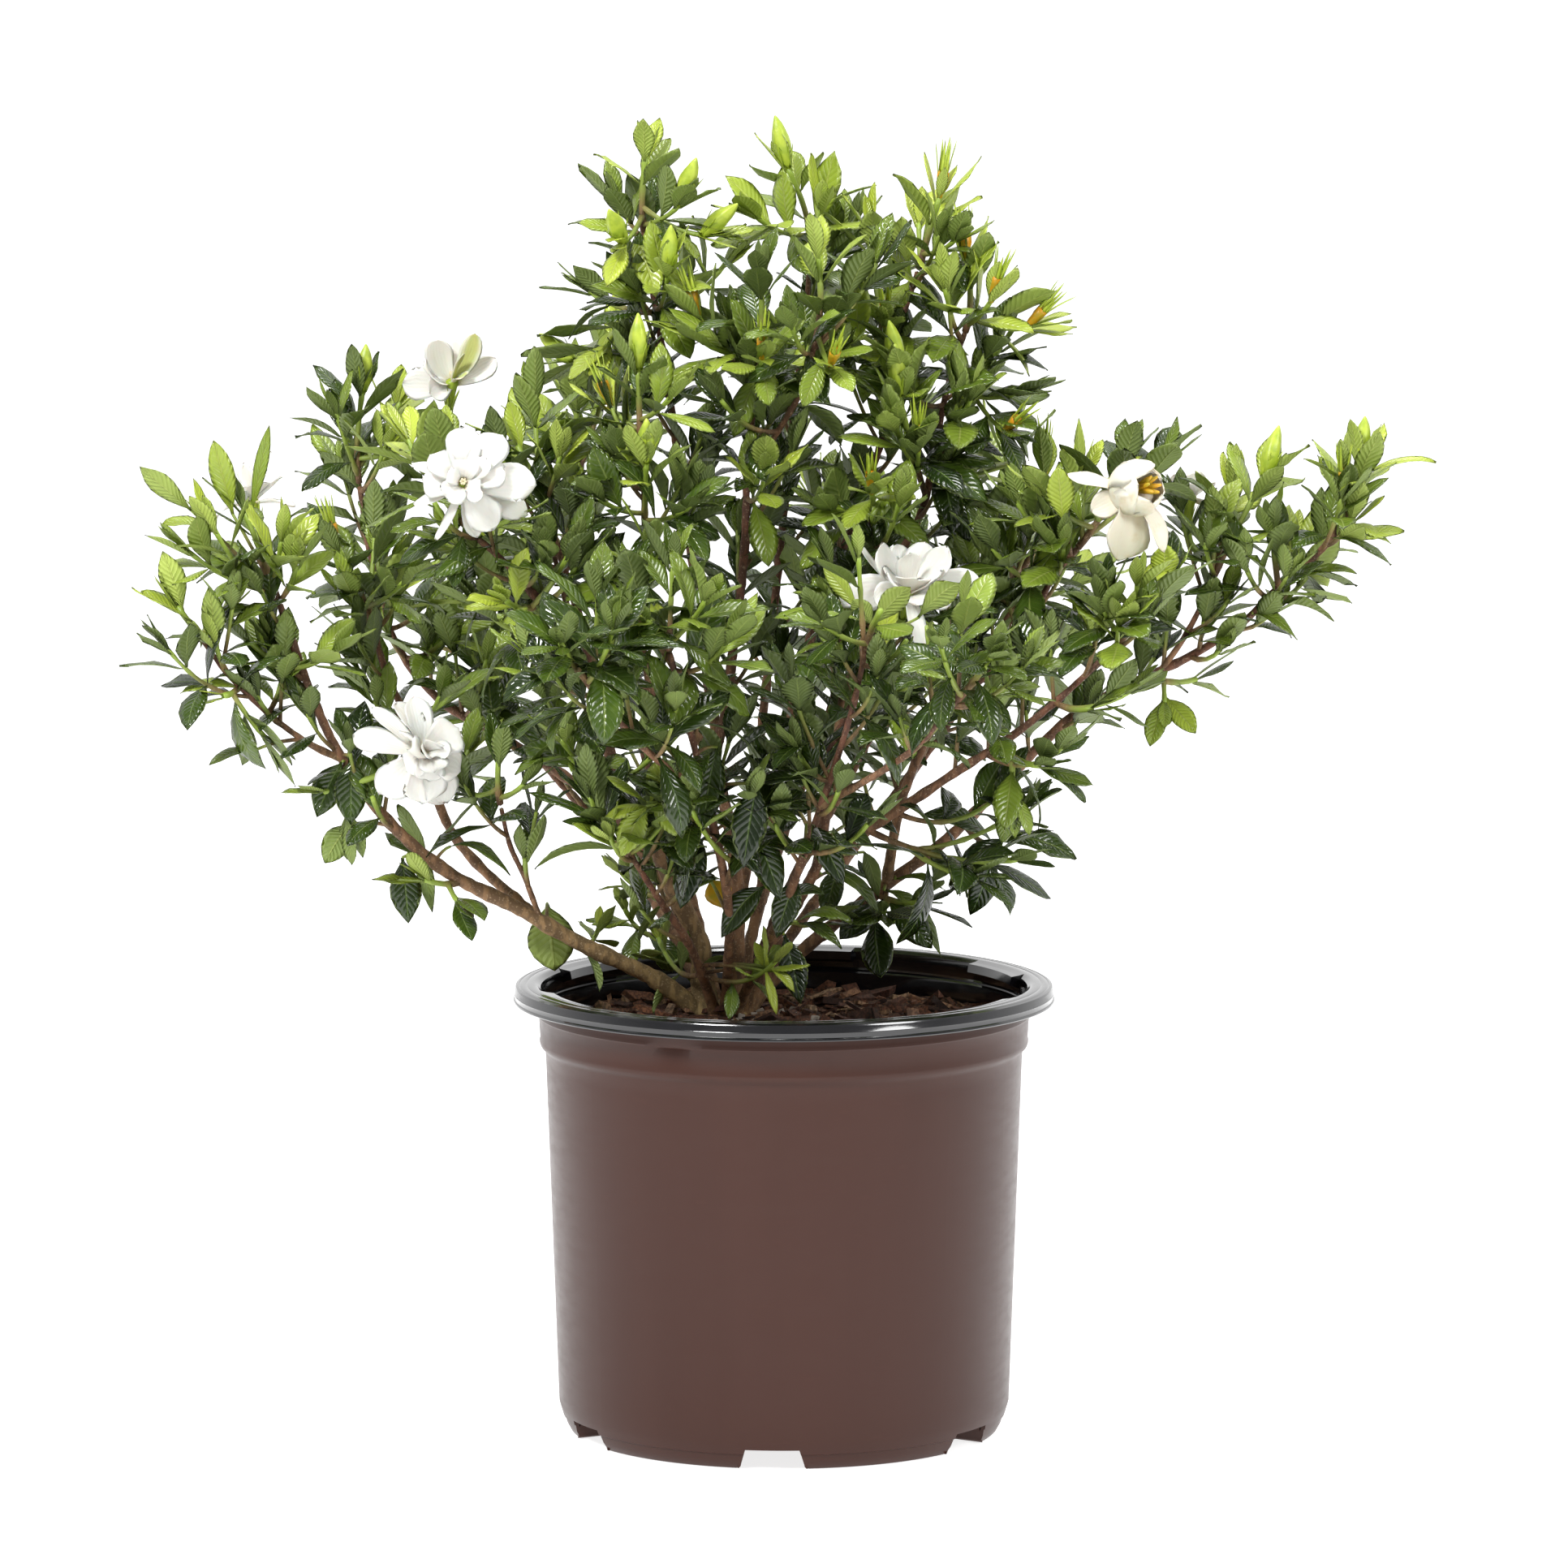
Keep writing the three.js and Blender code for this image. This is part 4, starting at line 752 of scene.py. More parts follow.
# A limb thicker than the first at its foot has old bark there, and one thinner than the second at
# its tip has young bark there
OLD_WOOD, YOUNG_WOOD = 4.5, 1.55
limb_points, limb_lines = {}, {}


def limb_place(name, number):
    return spline_point(limb_points[name], number)


def draw_limbs():
    crown = seen(CROWN)
    for name, (fork, _, way) in LIMBS.items():
        places = [seen(place) for place in way]
        if fork:
            start = limb_place(*fork)
        else:
            out = (places[0] - crown) * [1, 1, 0]
            start = crown + unit(out) * CROWN_RADIUS * 0.6
            start[2] = SOIL_TOP + 3
        limb_points[name] = np.array([start, *places])
        limb_lines[name] = spline(limb_points[name])


def build_wood(finish):
    shape = Shape()
    for number, (name, (fork, (thick, thin), _)) in enumerate(LIMBS.items()):
        line = limb_lines[name]
        draw = np.random.default_rng(100 + number)
        stations = np.arange(0, line.length, 3.2)
        part = stations / line.length
        radii = thick + (thin - thick) * part
        knots = np.cos(stations / draw.uniform(9, 12) + draw.uniform(0, 6)) ** 12
        radii = radii * (1 + 0.16 * knots + 0.05 * draw.normal(size=len(radii)))
        if not fork:
            radii = radii * (1 + 0.2 * np.exp(-stations / 14))
        old = 0.0 if thick > OLD_WOOD else 0.14
        young = 0.5 if thin < YOUNG_WOOD else 0.4
        tube(shape, line, stations, radii, 12, 0, old, young, draw.uniform())
    crown = seen(CROWN)
    levels, widths = zip(*STOCK)
    heights = np.interp(np.linspace(0, 1, STOCK_STEPS), np.linspace(0, 1, len(STOCK)), levels)
    lumps = 1 + 0.07 * np.sin(np.arange(STOCK_STEPS) * 2.3)
    centre = Line([[crown[0], crown[1], height] for height in (levels[0], levels[-1])])
    radii = np.interp(heights, levels, widths) * lumps
    tube(shape, centre, heights - levels[0], radii, STOCK_STEPS, 0, 0.0, 0.0)
    shape.build("limbs", [finish], ["wood"])


# The green sprays

BUD, TUFT, YOUNG = "bud", "tuft", "young"
END = None

# Each spray grows on a limb near the numbered point, or carries on from its end. Its tips are seen
# places, with what stands at the tip where that is a flower bud or a spent flower, or YOUNG where
# the shoot has only small bright leaves. The first list holds its own shoots, and the second the
# smaller ones that stand on the nearest limb.
SPRAYS = {
    "topLeft": ("highLeft", END, [(-74, 690, 38), (-56, 664, 18, BUD), (-86, 644, 10, BUD),
        (-44, 648, 26, BUD)], []),
    "columnLeft": ("highLeft", 4.6, [(-104, 618, 62), (-112, 580, 74, BUD), (-95, 588, 34)], [
        (-32, 632, 52), (-62, 628, 0, BUD), (-46, 605, 0, TUFT), (-30, 600, 20)]),
    "riserTop": ("leftRiser", END, [(-78, 576, -52, BUD), (-93, 556, -36, TUFT), (-60, 562, -68)], [
        (-90, 530, -70)]),
    "riserLow": ("leftRiser", 2.6, [(-74, 526, -86, BUD), (-50, 503, -94), (-99, 506, -80)], [
        (-72, 480, -95)]),
    "leftTop": ("leftFork", END, [(-143, 535, -28), (-134, 560, -16)], [(-120, 530, -45),
        (-112, 504, 0)]),
    "centreTop": ("centreBack", END, [(2, 684, 94, BUD), (20, 662, 74), (-15, 658, 62)], [
        (34, 650, 110)]),
    "centreUpper": ("middle", END, [(-12, 628, -8), (-12, 582, -42, TUFT), (-42, 590, -18)], [
        (-34, 560, -30), (-10, 520, -40)]),
    "centreRight": ("centreFork", END, [(18, 638, -26), (25, 578, -58, TUFT)], [(38, 625, -10),
        (4, 600, -55)]),
    "upperMid": ("highRight", 5.4, [(46, 652, 76), (54, 600, 22, TUFT), (36, 592, 2)], [
        (62, 575, -6, BUD)]),
    "topRight": ("highRight", END, [(83, 668, 46, TUFT), (72, 654, 70), (92, 646, 22)], [(66, 636, 30)]),
    "columnRight": ("highRightFork", END, [(98, 634, 34, TUFT), (111, 613, 14, TUFT),
        (129, 598, 26, TUFT)], [(86, 620, 5)]),
    "sideRight": ("highRightFork", 4.4, [(116, 588, 46), (124, 563, 28), (118, 543, 12, TUFT)], [
        (100, 560, 0)]),
    "midRight": ("highRightFork", 3.2, [(62, 562, -12, BUD), (72, 533, -26, TUFT), (104, 520, 34)], [
        (92, 535, 5), (60, 545, -30)]),
    "centreSpray": ("rightInner", END, [(47, 510, -42, TUFT), (24, 500, -22)], [(62, 505, -50),
        (25, 470, -40)]),
    "underBloom": ("rightCentre", END, [(88, 432, -60), (28, 452, -62)], [(30, 440, -60),
        (75, 415, -60)]),
    "rightGroup": ("rightMid", END, [(186, 530, 14), (160, 520, -4), (203, 526, 8), (140, 508, -34)], [
        (125, 505, -20), (112, 480, -30), (150, 480, -40), (100, 470, 10)]),
    "rightGroupBack": ("rightBack", END, [(140, 520, 88, TUFT), (118, 535, 98), (158, 498, 106)], [
        (128, 490, 70), (105, 500, 90)]),
    "riseTop": ("rightRise", END, [(258, 518, 60, BUD), (226, 482, 30)], [(232, 490, 46),
        (240, 512, 74)]),
    "farRight": ("rightLow", END, [(301, 519, 50), (300, 508, 48, TUFT), (309, 526, 66, BUD)], [
        (306, 496, 48)]),
    "rightOuter": ("rightLow", 11.2, [(262, 488, 46), (277, 482, 80)], [(248, 470, 44), (285, 470, 80)]),
    "rightUnder": ("rightLow", 8.2, [(222, 409, 80), (205, 396, 60)], [(235, 425, 50)]),
    "rightGreen": ("rightMain", END, [(190, 460, -64), (207, 462, -42), (172, 446, -78)], [
        (166, 430, -50), (180, 440, -80)]),
    "rightArch": ("rightMain", 5.2, [(166, 393, -66), (186, 402, -50)], [(150, 372, -66)]),
    "rightDroop": ("rightMain", 3.8, [(138, 362, -62), (124, 344, -54)], [(112, 390, -70)]),
    "rightThin": ("rightMain", 1.1, [(126, 311, -46), (104, 302, -58), (128, 338, -28)], [(130, 338, -22),
        (116, 346, -14)]),
    "rightFoot": ("rightLow", 2.8, [(72, 288, 30), (40, 276, 12)], [(54, 282, 22), (48, 300, 60)]),
    "bloomLeft": ("diagonal", END, [(-182, 536, -42), (-202, 538, -30), (-146, 496, -84)], [
        (-188, 505, -84)]),
    "leftFront": ("diagonal", 4.9, [(-150, 452, -96), (-116, 476, -88)], [(-130, 475, -85),
        (-165, 450, -60), (-112, 470, -80)]),
    "backLeftTop": ("backLeft", END, [(-226, 564, 130, BUD), (-240, 552, 118), (-206, 558, 150)], [
        (-214, 535, 110), (-175, 440, 110), (-160, 420, 95), (-190, 455, 150), (-150, 430, 130)]),
    "innerLeft": ("leftInner", END, [(-240, 480, 20, TUFT), (-220, 488, 44), (-204, 462, 8)], [
        (-232, 455, 8), (-205, 460, 50), (-170, 370, 40), (-185, 400, 0)]),
    "leftEnd": ("left", END, [(-290, 500, -40), (-320, 478, -62), (-270, 484, -60)], [(-262, 470, -60),
        (-306, 490, -62)]),
    "leftMiddle": ("left", 7.5, [(-288, 430, -50), (-242, 424, -64)], [(-284, 400, -60),
        (-270, 410, -40)]),
    "farLeftEnd": ("farLeft", END, [(-326, 448, -68), (-303, 442, -56)], [(-306, 428, -74)]),
    "farLeftMid": ("farLeft", 2.8, [(-302, 400, -72), (-280, 378, -60)], []),
    "leftHang": ("left", 5.7, [(-248, 348, -50), (-236, 334, -42)], [(-222, 345, -60)]),
    "leftLow": ("left", 3.8, [(-194, 300, -38), (-176, 288, -44)], [(-195, 315, -20)]),
    "twigTop": ("leftTwig", END, [(-154, 364, -36), (-140, 352, -46), (-168, 346, -26)], [
        (-140, 312, -34)]),
    "trunkMid": ("trunkLeft", 3.9, [(-120, 376, -56), (-72, 366, -48)], [(-126, 510, -8), (-142, 488, 0),
        (-108, 490, 10), (-130, 400, -45), (-105, 345, -50)]),
    "frontLow": ("frontLimbA", END, [(-90, 326, -100), (-66, 330, -98)], [(-105, 345, -85),
        (-86, 284, 34, YOUNG), (-100, 274, 30, YOUNG), (-76, 296, 30, YOUNG), (-68, 268, 34, YOUNG),
        (-52, 300, -60), (-88, 304, 20, YOUNG), (-94, 324, -104, YOUNG)]),
    "frontMiddle": ("frontLimbB", END, [(-74, 440, -162), (-42, 452, -168)], [(-60, 470, -140),
        (-30, 430, -160)]),
    "frontRight": ("frontLimbC", END, [(52, 446, -172), (20, 440, -170)], [(66, 430, -165),
        (40, 475, -150), (8, 368, -115), (30, 350, -118), (45, 330, -90)]),
    "frontHang": ("frontLimbB", 1.2, [(-18, 346, -112), (-50, 338, -118)], [(-5, 330, -100),
        (-2, 290, -40), (20, 278, 0), (-4, 256, -40, YOUNG), (-68, 438, -120, YOUNG)]),
    "frontSideLeft": ("frontLimbD", END, [(-120, 428, -222), (-92, 436, -226)], [(-135, 420, -170),
        (-100, 455, -190)]),
    "frontSideRight": ("frontLimbE", END, [(112, 422, -220), (84, 428, -228)], [(126, 412, -175),
        (95, 450, -190)]),
    "backTop": ("backLimbA", END, [(-108, 568, 168), (-134, 540, 184), (-90, 560, 200)], [(-90, 590, 185),
        (-120, 500, 210)]),
    "backMiddle": ("backLimbB", END, [(46, 502, 222), (16, 506, 226)], [(70, 480, 225), (40, 450, 240)]),
    "backRight": ("backLimbC", END, [(138, 488, 206), (160, 462, 214)], [(120, 500, 210),
        (160, 440, 210)]),
    "backLeft": ("backLimbD", END, [(-180, 466, 208), (-152, 462, 218)], [(-200, 440, 205),
        (-160, 480, 225), (-150, 440, 235)]),
}

# Rows of leaves from the tip of a shoot down: distance from the tip, leaves in the row, their length
# and width, their angle from the shoot and their arch in degrees, and how fresh their green is
ROWS = [
    (1, 2, 24, 8, 8, 0, 1.0),
    (4, 2, 33, 13, 20, 8, 1.0),
    (17, 3, 40, 17, 40, 26, 0.8),
    (35, 3, 46, 18.5, 58, 46, 0.5),
    (56, 3, 48, 18.5, 70, 62, 0.3),
    (80, 2, 47, 18, 78, 72, 0.2),
    (106, 2, 45, 17.5, 84, 78, 0.14),
]
LEAF, UNDER, STEM, BUDS = 0, 1, 2, 3

# Greens brighten between these heights, and this share of the leaves has dropped lower down
SHADE = {"low": 330, "high": 640}
BARE = {"below": 345, "share": 0.28}
# The chance that a row has one leaf fewer, and how far a leaf's seat is from the middle of the shoot
ROW_THINNED = 0.3
LEAF_SEAT = 0.8
# A share of the shoots is older and dull, and a share is new and bright
OLD = {"share": 0.34, "fresh": 0.4}
NEW = {"share": 0.12, "more": 0.35}

# How much of a shoot's length is bare at its foot, and where the side shoots leave it after that
GREEN_FOOT = 0.24
FORK_FIRST, FORK_STEP = 3.5, 5

# The kinds of shoot: radius at the foot and at the tip, and how fresh the bark is at both
SHOOTS = {
    "main": (1.9, 1.3, 0.5, 1.0), "side": (1.5, 1.1, 0.7, 1.0), "small": (1.5, 1.1, 0.5, 1.0),
    "stalk": (1.4, 1.9, 0.85, 1.0), "inner": (1.2, 0.9, 0.55, 0.9), "twig": (1.2, 0.8, 0.5, 0.85),
}
# How far from the foot of a side shoot or an inner one its lowest leaves stand
SIDE_BARE, INNER_BARE = 8, 6
# The freshness and size of a shoot that has only small bright leaves
YOUNG_FRESH, YOUNG_SIZE = 0.9, 0.58


def shoot_line(start, tip, heading=None, turn_up=0.16):
    """Sets out flat, or along the limb that it carries on from, and turns up towards the light"""
    if heading is not None:
        return bezier(start, start + heading * 0.4 * np.linalg.norm(tip - start), tip)
    bend = start + (tip - start) * 0.55
    bend[2] -= turn_up * hypot(*(tip - start)[:2])
    return bezier(start, bend, tip)


def nearest_limb(tip, rise_wanted=18):
    """The place on the limbs that a small shoot with this tip would stand on"""
    best = None
    for line in limb_lines.values():
        for distance in np.arange(0.25 * line.length, line.length, 6):
            place = line.at(distance)
            rise = tip[2] - place[2]
            cost = np.linalg.norm(tip - place) + 1.6 * max(0, rise_wanted - rise)
            if best is None or cost < best[0]:
                best = (cost, place)
    return best[1]


def blade(shape, sheet, spine, sides, ups, width, fresh, draw):
    """The blade of a leaf on its spine: folded along the midrib, with rolled edges and a slight wave.
    A leaf that is fresh by less than nothing has yellowed."""
    v, u = sheet.rows, sheet.columns
    part = np.clip((v - 0.06) / 0.94, 0, 1)
    blunt = draw.uniform(0.85, 1.2)
    swell = 1.22 * blunt
    peak = (swell / (swell + blunt)) ** swell * (blunt / (swell + blunt)) ** blunt
    half = width / 2 * part ** swell * (1 - part) ** blunt / peak + 0.75 * (1 - v) ** 2 + 0.12
    fold, rolled = draw.uniform(0.12, 0.4), draw.uniform(0.05, 0.4)
    waves, phase, wave = draw.uniform(1.2, 2.4), draw.uniform(0, 6.3), draw.uniform(0.02, 0.1)
    lift = half * (fold * np.abs(u) - rolled * u ** 2)
    ripple = np.sin(2 * pi * waves * v + phase + (u > 0) * 1.7)
    lift = lift + width * wave * ripple * np.abs(u) ** 1.5 * part
    thick = 0.35 + np.where(u == 0, 0.65, 0.0) * (1 - 0.7 * v) + 0 * lift
    skins = (LEAF, UNDER) if fresh >= 0 else (BUDS, BUDS)
    sheet.draw(shape, spine, sides, ups, half, lift, thick, skins, (abs(fresh), draw.uniform(), 0))


def leaf(shape, root, outward, facing, length, width, arch, fresh, draw, sheet=LEAF_SHEET):
    """A leaf that sets out from its root and arches away from its upper face"""
    v = sheet.rows
    along0 = unit(outward)
    face0 = squared(facing, along0)
    side0 = np.cross(along0, face0)
    roll = draw.normal(0, 0.16)
    face0, side0 = turned(face0, along0, roll), turned(side0, along0, roll)
    bent = radians(arch) * v ** 1.15
    along = np.cos(bent) * along0 - np.sin(bent) * face0
    ups = np.cos(bent) * face0 + np.sin(bent) * along0
    steps = np.diff(v, axis=0) * (along[1:] + along[:-1]) / 2 * length
    spine = root + np.vstack([np.zeros(3), np.cumsum(steps, axis=0)])
    sway = draw.normal(0, 0.05) * length
    spine = spine + side0 * (sway * v ** 2)
    blade(shape, sheet, spine, np.broadcast_to(side0, spine.shape), ups, width, fresh, draw)


def aimed_leaf(shape, root, tip, sag, facing, width, fresh, draw):
    """A leaf from a root to a tip, bulging upwards by sag on its way"""
    bend = (root + tip) / 2 + UP * sag * 2
    spine = arc(root, bend, tip, LEAF_SHEET.rows)
    side = unit(np.cross(tip - root, squared(facing, unit(tip - root))))
    ups = np.cross(side, arc_heading(root, bend, tip, LEAF_SHEET.rows))
    blade(shape, LEAF_SHEET, spine, np.broadcast_to(side, spine.shape), ups, width, fresh, draw)


# Leaves don't cover the blooms: the middle of each as seen, and how far round it stays open
OPEN_ROUND = {
    "bloom_left_upper": (-165, 517, -80, 30), "bloom_left_lower": (-204, 368, -60, 30),
    "bloom_right_centre": (66, 466, -40, 30), "bloom_right_aged": (182, 505, -30, 28),
    "bloom_left_opening": (-182, 577, 118, 15), "bloom_far_left": (-280, 515, 6, 9),
}


def covers_bloom(root, outward, length):
    for part in (0.35, 0.7, 1.0):
        point = as_seen(root + outward * length * part)
        for across, height, depth, reach in OPEN_ROUND.values():
            if point[2] < depth and hypot(point[0] - across, point[1] - height) < reach:
                return True
    return False


def leafy(shape, line, fresh, draw, lowest, size=1.0, sheet=LEAF_SHEET):
    """Rows of leaves down a shoot, each row turned to stand between the leaves of the one above"""
    relaxed = 1.25 - 0.6 * fresh
    turn = draw.uniform(0, 2 * pi)
    for down, leaves, length, width, spread, arch, share in ROWS:
        distance = line.length - down * size
        if distance < lowest:
            break
        along = line.heading(distance)
        across = across_from(along)
        count = leaves if draw.uniform() > ROW_THINNED else max(2, leaves - 1)
        low = line.at(distance)[2] < BARE["below"]
        for k in range(count):
            if low and draw.uniform() < BARE["share"]:
                continue
            sideways = turned(across, along, turn + 2 * pi * k / count + draw.normal(0, 0.16))
            open_by = radians(spread + draw.normal(0, 7))
            outward = along * cos(open_by) + sideways * sin(open_by)
            facing = along * 0.6 + UP * 0.8
            grown = size * draw.uniform(0.82, 1.14)
            tone = np.clip(fresh * share + draw.normal(0, 0.07), 0.02, 1)
            if covers_bloom(line.at(distance), outward, length * grown):
                continue
            leaf(shape, line.at(distance) + sideways * LEAF_SEAT, outward, facing, length * grown,
                 width * grown * draw.uniform(0.88, 1.1), arch * relaxed + draw.normal(0, 9), tone,
                 draw, sheet)
        turn += pi / max(count, 2) + 0.2


def stem(shape, line, kind, draw):
    """A shoot, a little swollen where leaves stand on it"""
    thick, thin, *tones = SHOOTS[kind]
    stations = np.linspace(0, line.length, max(5, int(line.length / 4)))
    radii = np.linspace(thick, thin, len(stations))
    for down, *_ in ROWS:
        radii = radii * (1 + 0.3 * np.exp(-((line.length - down - stations) / 1.8) ** 2))
    tube(shape, line, stations, radii, 8, STEM, *tones, draw.uniform())


def lobes(shape, base, along, count, ring, length, width, lean, tone, draw):
    """Pointed lobes that stand in a ring round a tip"""
    across = across_from(along)
    v = LOBE_SHEET.rows
    for k in range(count):
        out = turned(across, along, 2 * pi * k / count + draw.normal(0, 0.15))
        reach = length * draw.uniform(0.8, 1.15)
        bend = lean + draw.normal(0, 0.06)
        spine = base + out * ring + along * (v * reach) + out * (reach * bend * v ** 1.4)
        side = np.broadcast_to(np.cross(along, out), spine.shape)
        ups = np.broadcast_to(-out, spine.shape)
        half = width / 2 * (1 - v) ** 0.6 + 0.1
        flat = np.zeros((len(v), 3))
        LOBE_SHEET.draw(shape, spine, side, ups, half, flat, flat + 0.5, (BUDS, BUDS),
                        (tone, draw.uniform(), 0))


def bud(shape, tip, along, draw):
    """A flower bud: a furled spindle in a ring of calyx lobes"""
    height = draw.uniform(25, 31)
    line = Line([tip - along * 1, tip + along * (height / 2), tip + along * height])
    parts = np.array([0, 0.08, 0.18, 0.3, 0.44, 0.58, 0.72, 0.84, 0.93, 1])
    radii = np.array([1.4, 2.6, 3.6, 4.6, 4.9, 4.6, 3.7, 2.6, 1.5, 0.5])
    tube(shape, line, parts * height, radii, 15, BUDS, 0.75, 1.0, draw.uniform(), ribs=5)
    lobes(shape, tip, along, 6, 2.2, 15, 2.4, 0.32, 0.6, draw)


def tuft(shape, tip, along, draw):
    """What a dropped flower leaves: an orange cup with long green lobes"""
    line = Line([tip - along * 1, tip + along * 7, tip + along * 14])
    radii = [1.4, 1.7, 2.3, 3, 3.2]
    tube(shape, line, [0, 3, 7, 11, 15], radii, 10, BUDS, 0.3, 0.0, draw.uniform(), ribs=5)
    lobes(shape, tip + along * 12, along, 6, 2.6, 19, 2.4, 0.12, 0.85, draw)


def freshness(tip, draw):
    """How bright the green of a shoot is: more towards the top and the outside"""
    high = (tip[2] - SHADE["low"]) / (SHADE["high"] - SHADE["low"])
    wide = hypot(tip[0], tip[1]) / 300
    lot = draw.uniform()
    age = OLD["fresh"] if lot < OLD["share"] else 1.0
    young = NEW["more"] if lot > 1 - NEW["share"] else 0.0
    bright = 0.2 + 0.62 * high + 0.35 * wide ** 2 + draw.normal(0, 0.1)
    return float(np.clip(bright * age + young, 0.1, 1))


def top_of_shoot(shape, line, kind, draw):
    tip, along = line.at(line.length), unit(line.heading(line.length) + UP * 0.9)
    if kind == BUD:
        bud(shape, tip, along, draw)
    elif kind == TUFT:
        tuft(shape, tip, along, draw)


# Leaves that stand alone, by the spray they belong to: their root and tip as seen, depth, sag, width,
# how fresh they are (yellowed below nothing) and the way their upper face looks
FRONT, BACK, ABOVE = (0, -1, 0.3), (0, 1, 0.4), (0, -0.35, 1)
LONE_LEAVES = {
    "frontHang": [((0, 270), (9, 232), -30, 3, 15, 0.06, FRONT),
        ((7, 277), (37, 276), -32, 7, 14, 0.3, ABOVE), ((8, 276), (31, 262), -26, 4, 12, 0.25, ABOVE),
        ((-14, 352), (-22, 306), -112, 5, 19, 0.05, FRONT),
        ((-36, 372), (-44, 326), -104, 5, 17, 0.08, FRONT),
        ((-30, 318), (12, 311), -70, 7, 19, 0.05, ABOVE),
        ((-44, 322), (-56, 284), -64, 5, 17, 0.05, FRONT),
        ((-34, 300), (-58, 291), -40, 5, 17, 0.4, ABOVE), ((-28, 330), (14, 338), -78, 8, 17, 0.1, ABOVE),
        ((12, 330), (32, 296), -60, 5, 14, 0.08, FRONT),
        ((-40, 300), (-32, 284), -20, 2, 15, -0.22, FRONT),
        ((-18, 326), (-2, 288), -64, 5, 17, 0.06, FRONT), ((8, 300), (-4, 268), -50, 4, 15, 0.1, FRONT),
        ((-10, 296), (-34, 268), -44, 5, 15, 0.12, FRONT),
        ((24, 320), (50, 316), -50, 6, 14, 0.15, ABOVE), ((-6, 284), (22, 292), -44, 6, 14, 0.2, ABOVE),
        ((-48, 332), (-78, 306), -60, 6, 16, 0.1, ABOVE), ((-8, 252), (6, 238), -34, 3, 8, 0.95, ABOVE),
        ((-10, 250), (-4, 226), -36, 1, 5, 0.9, FRONT), ((-6, 250), (10, 250), -30, 3, 6, 0.95, ABOVE),
        ((-8, 250), (-16, 266), -34, 0, 6, 0.9, FRONT)],
    "rightFoot": [((34, 330), (62, 324), 20, 6, 14, 0.12, ABOVE),
        ((30, 306), (22, 278), 26, 4, 13, 0.15, FRONT), ((43, 315), (51, 290), 20, 4, 9, 0.35, BACK),
        ((20, 303), (52, 281), 0, 8, 13, 0.3, ABOVE), ((54, 294), (85, 258), 40, 9, 13, 0.35, ABOVE),
        ((60, 300), (87, 294), 44, 4, 8, 0.4, ABOVE)],
    "leftLow": [((-234, 330), (-248, 309), -36, 2, 16, 0.5, BACK),
        ((-206, 312), (-203, 276), -30, 2, 17, 0.08, FRONT),
        ((-198, 316), (-190, 282), -20, 5, 9, 0.35, BACK),
        ((-128, 287), (-124, 250), 10, 1, 26, 0.6, BACK),
        ((-180, 318), (-148, 302), -34, 8, 9, 0.3, ABOVE)],
    "leftHang": [((-238, 364), (-252, 334), -46, 3, 17, 0.06, FRONT),
        ((-233, 366), (-234, 330), -48, 3, 18, 0.06, FRONT)],
    "farLeftMid": [((-290, 402), (-325, 401), -60, 6, 13, 0.6, ABOVE),
        ((-286, 370), (-310, 362), -58, 3, 10, 0.4, ABOVE)],
    "farLeftEnd": [((-318, 440), (-346, 456), -68, 1, 15, 0.75, ABOVE)],
    "leftEnd": [((-318, 500), (-346, 524), -50, 0, 12, 0.7, BACK),
        ((-306, 488), (-334, 492), -48, 3, 13, 0.7, ABOVE),
        ((-296, 498), (-306, 538), -44, 0, 13, 0.65, FRONT),
        ((-286, 500), (-276, 546), -40, 0, 7, 0.5, FRONT)],
    "underBloom": [((48, 438), (68, 459), -100, 2, 14, 0.72, BACK),
        ((48, 438), (37, 452), -98, 1, 11, 0.7, BACK), ((40, 446), (21, 470), -92, 1, 9, 0.7, FRONT),
        ((72, 442), (95, 461), -92, 3, 15, 0.72, BACK), ((50, 420), (60, 456), -84, 0, 10, 0.95, FRONT)],
    "rightGroup": [((150, 494), (147, 524), -46, 0, 15, 0.75, FRONT),
        ((204, 462), (205, 482), -44, 0, 15, 0.75, FRONT)],
    "rightOuter": [((276, 462), (308, 466), 60, 5, 11, 0.55, ABOVE),
        ((252, 444), (276, 430), 60, 5, 11, 0.45, ABOVE)],
    "farRight": [((312, 520), (350, 526), 60, 4, 9, 0.85, ABOVE),
        ((302, 492), (326, 482), 56, 4, 11, 0.7, ABOVE)],
    "trunkMid": [((-96, 430), (-80, 398), -60, 5, 15, 0.08, FRONT)],
    "frontLow": [((-74, 340), (-98, 332), -100, 3, 14, 0.75, ABOVE),
        ((-74, 340), (-88, 312), -106, 3, 15, 0.7, FRONT),
        ((-72, 340), (-52, 322), -104, 4, 15, 0.65, FRONT),
        ((-72, 342), (-64, 366), -98, 1, 13, 0.8, FRONT),
        ((-74, 342), (-96, 356), -98, 2, 13, 0.75, ABOVE)],
}


def add_lone_leaves(shape, name, draw):
    for root, tip, depth, sag, width, fresh, facing in LONE_LEAVES.get(name, []):
        start, end = seen((*root, depth)), seen((*tip, depth - 6))
        foot = nearest_limb(start, rise_wanted=0)
        twig = bezier(foot, (foot + start) / 2 + UP * 3, start)
        thick, thin, *tones = SHOOTS["twig"]
        tube(shape, twig, np.linspace(0, twig.length, 6), np.linspace(thick, thin, 6), 6, STEM, *tones)
        aimed_leaf(shape, start, end, sag, np.array(facing, float), width, fresh, draw)


# Short inner shoots fill a limb from this part of its length on
FILL = {"left": 0.62, "farLeft": 0.4, "rightLow": 0.5, "backLeft": 0.5, "leftInner": 0.6}
FILL_FROM = 0.45
FILL_STEP = 22
FILL_REACH = (22, 58)


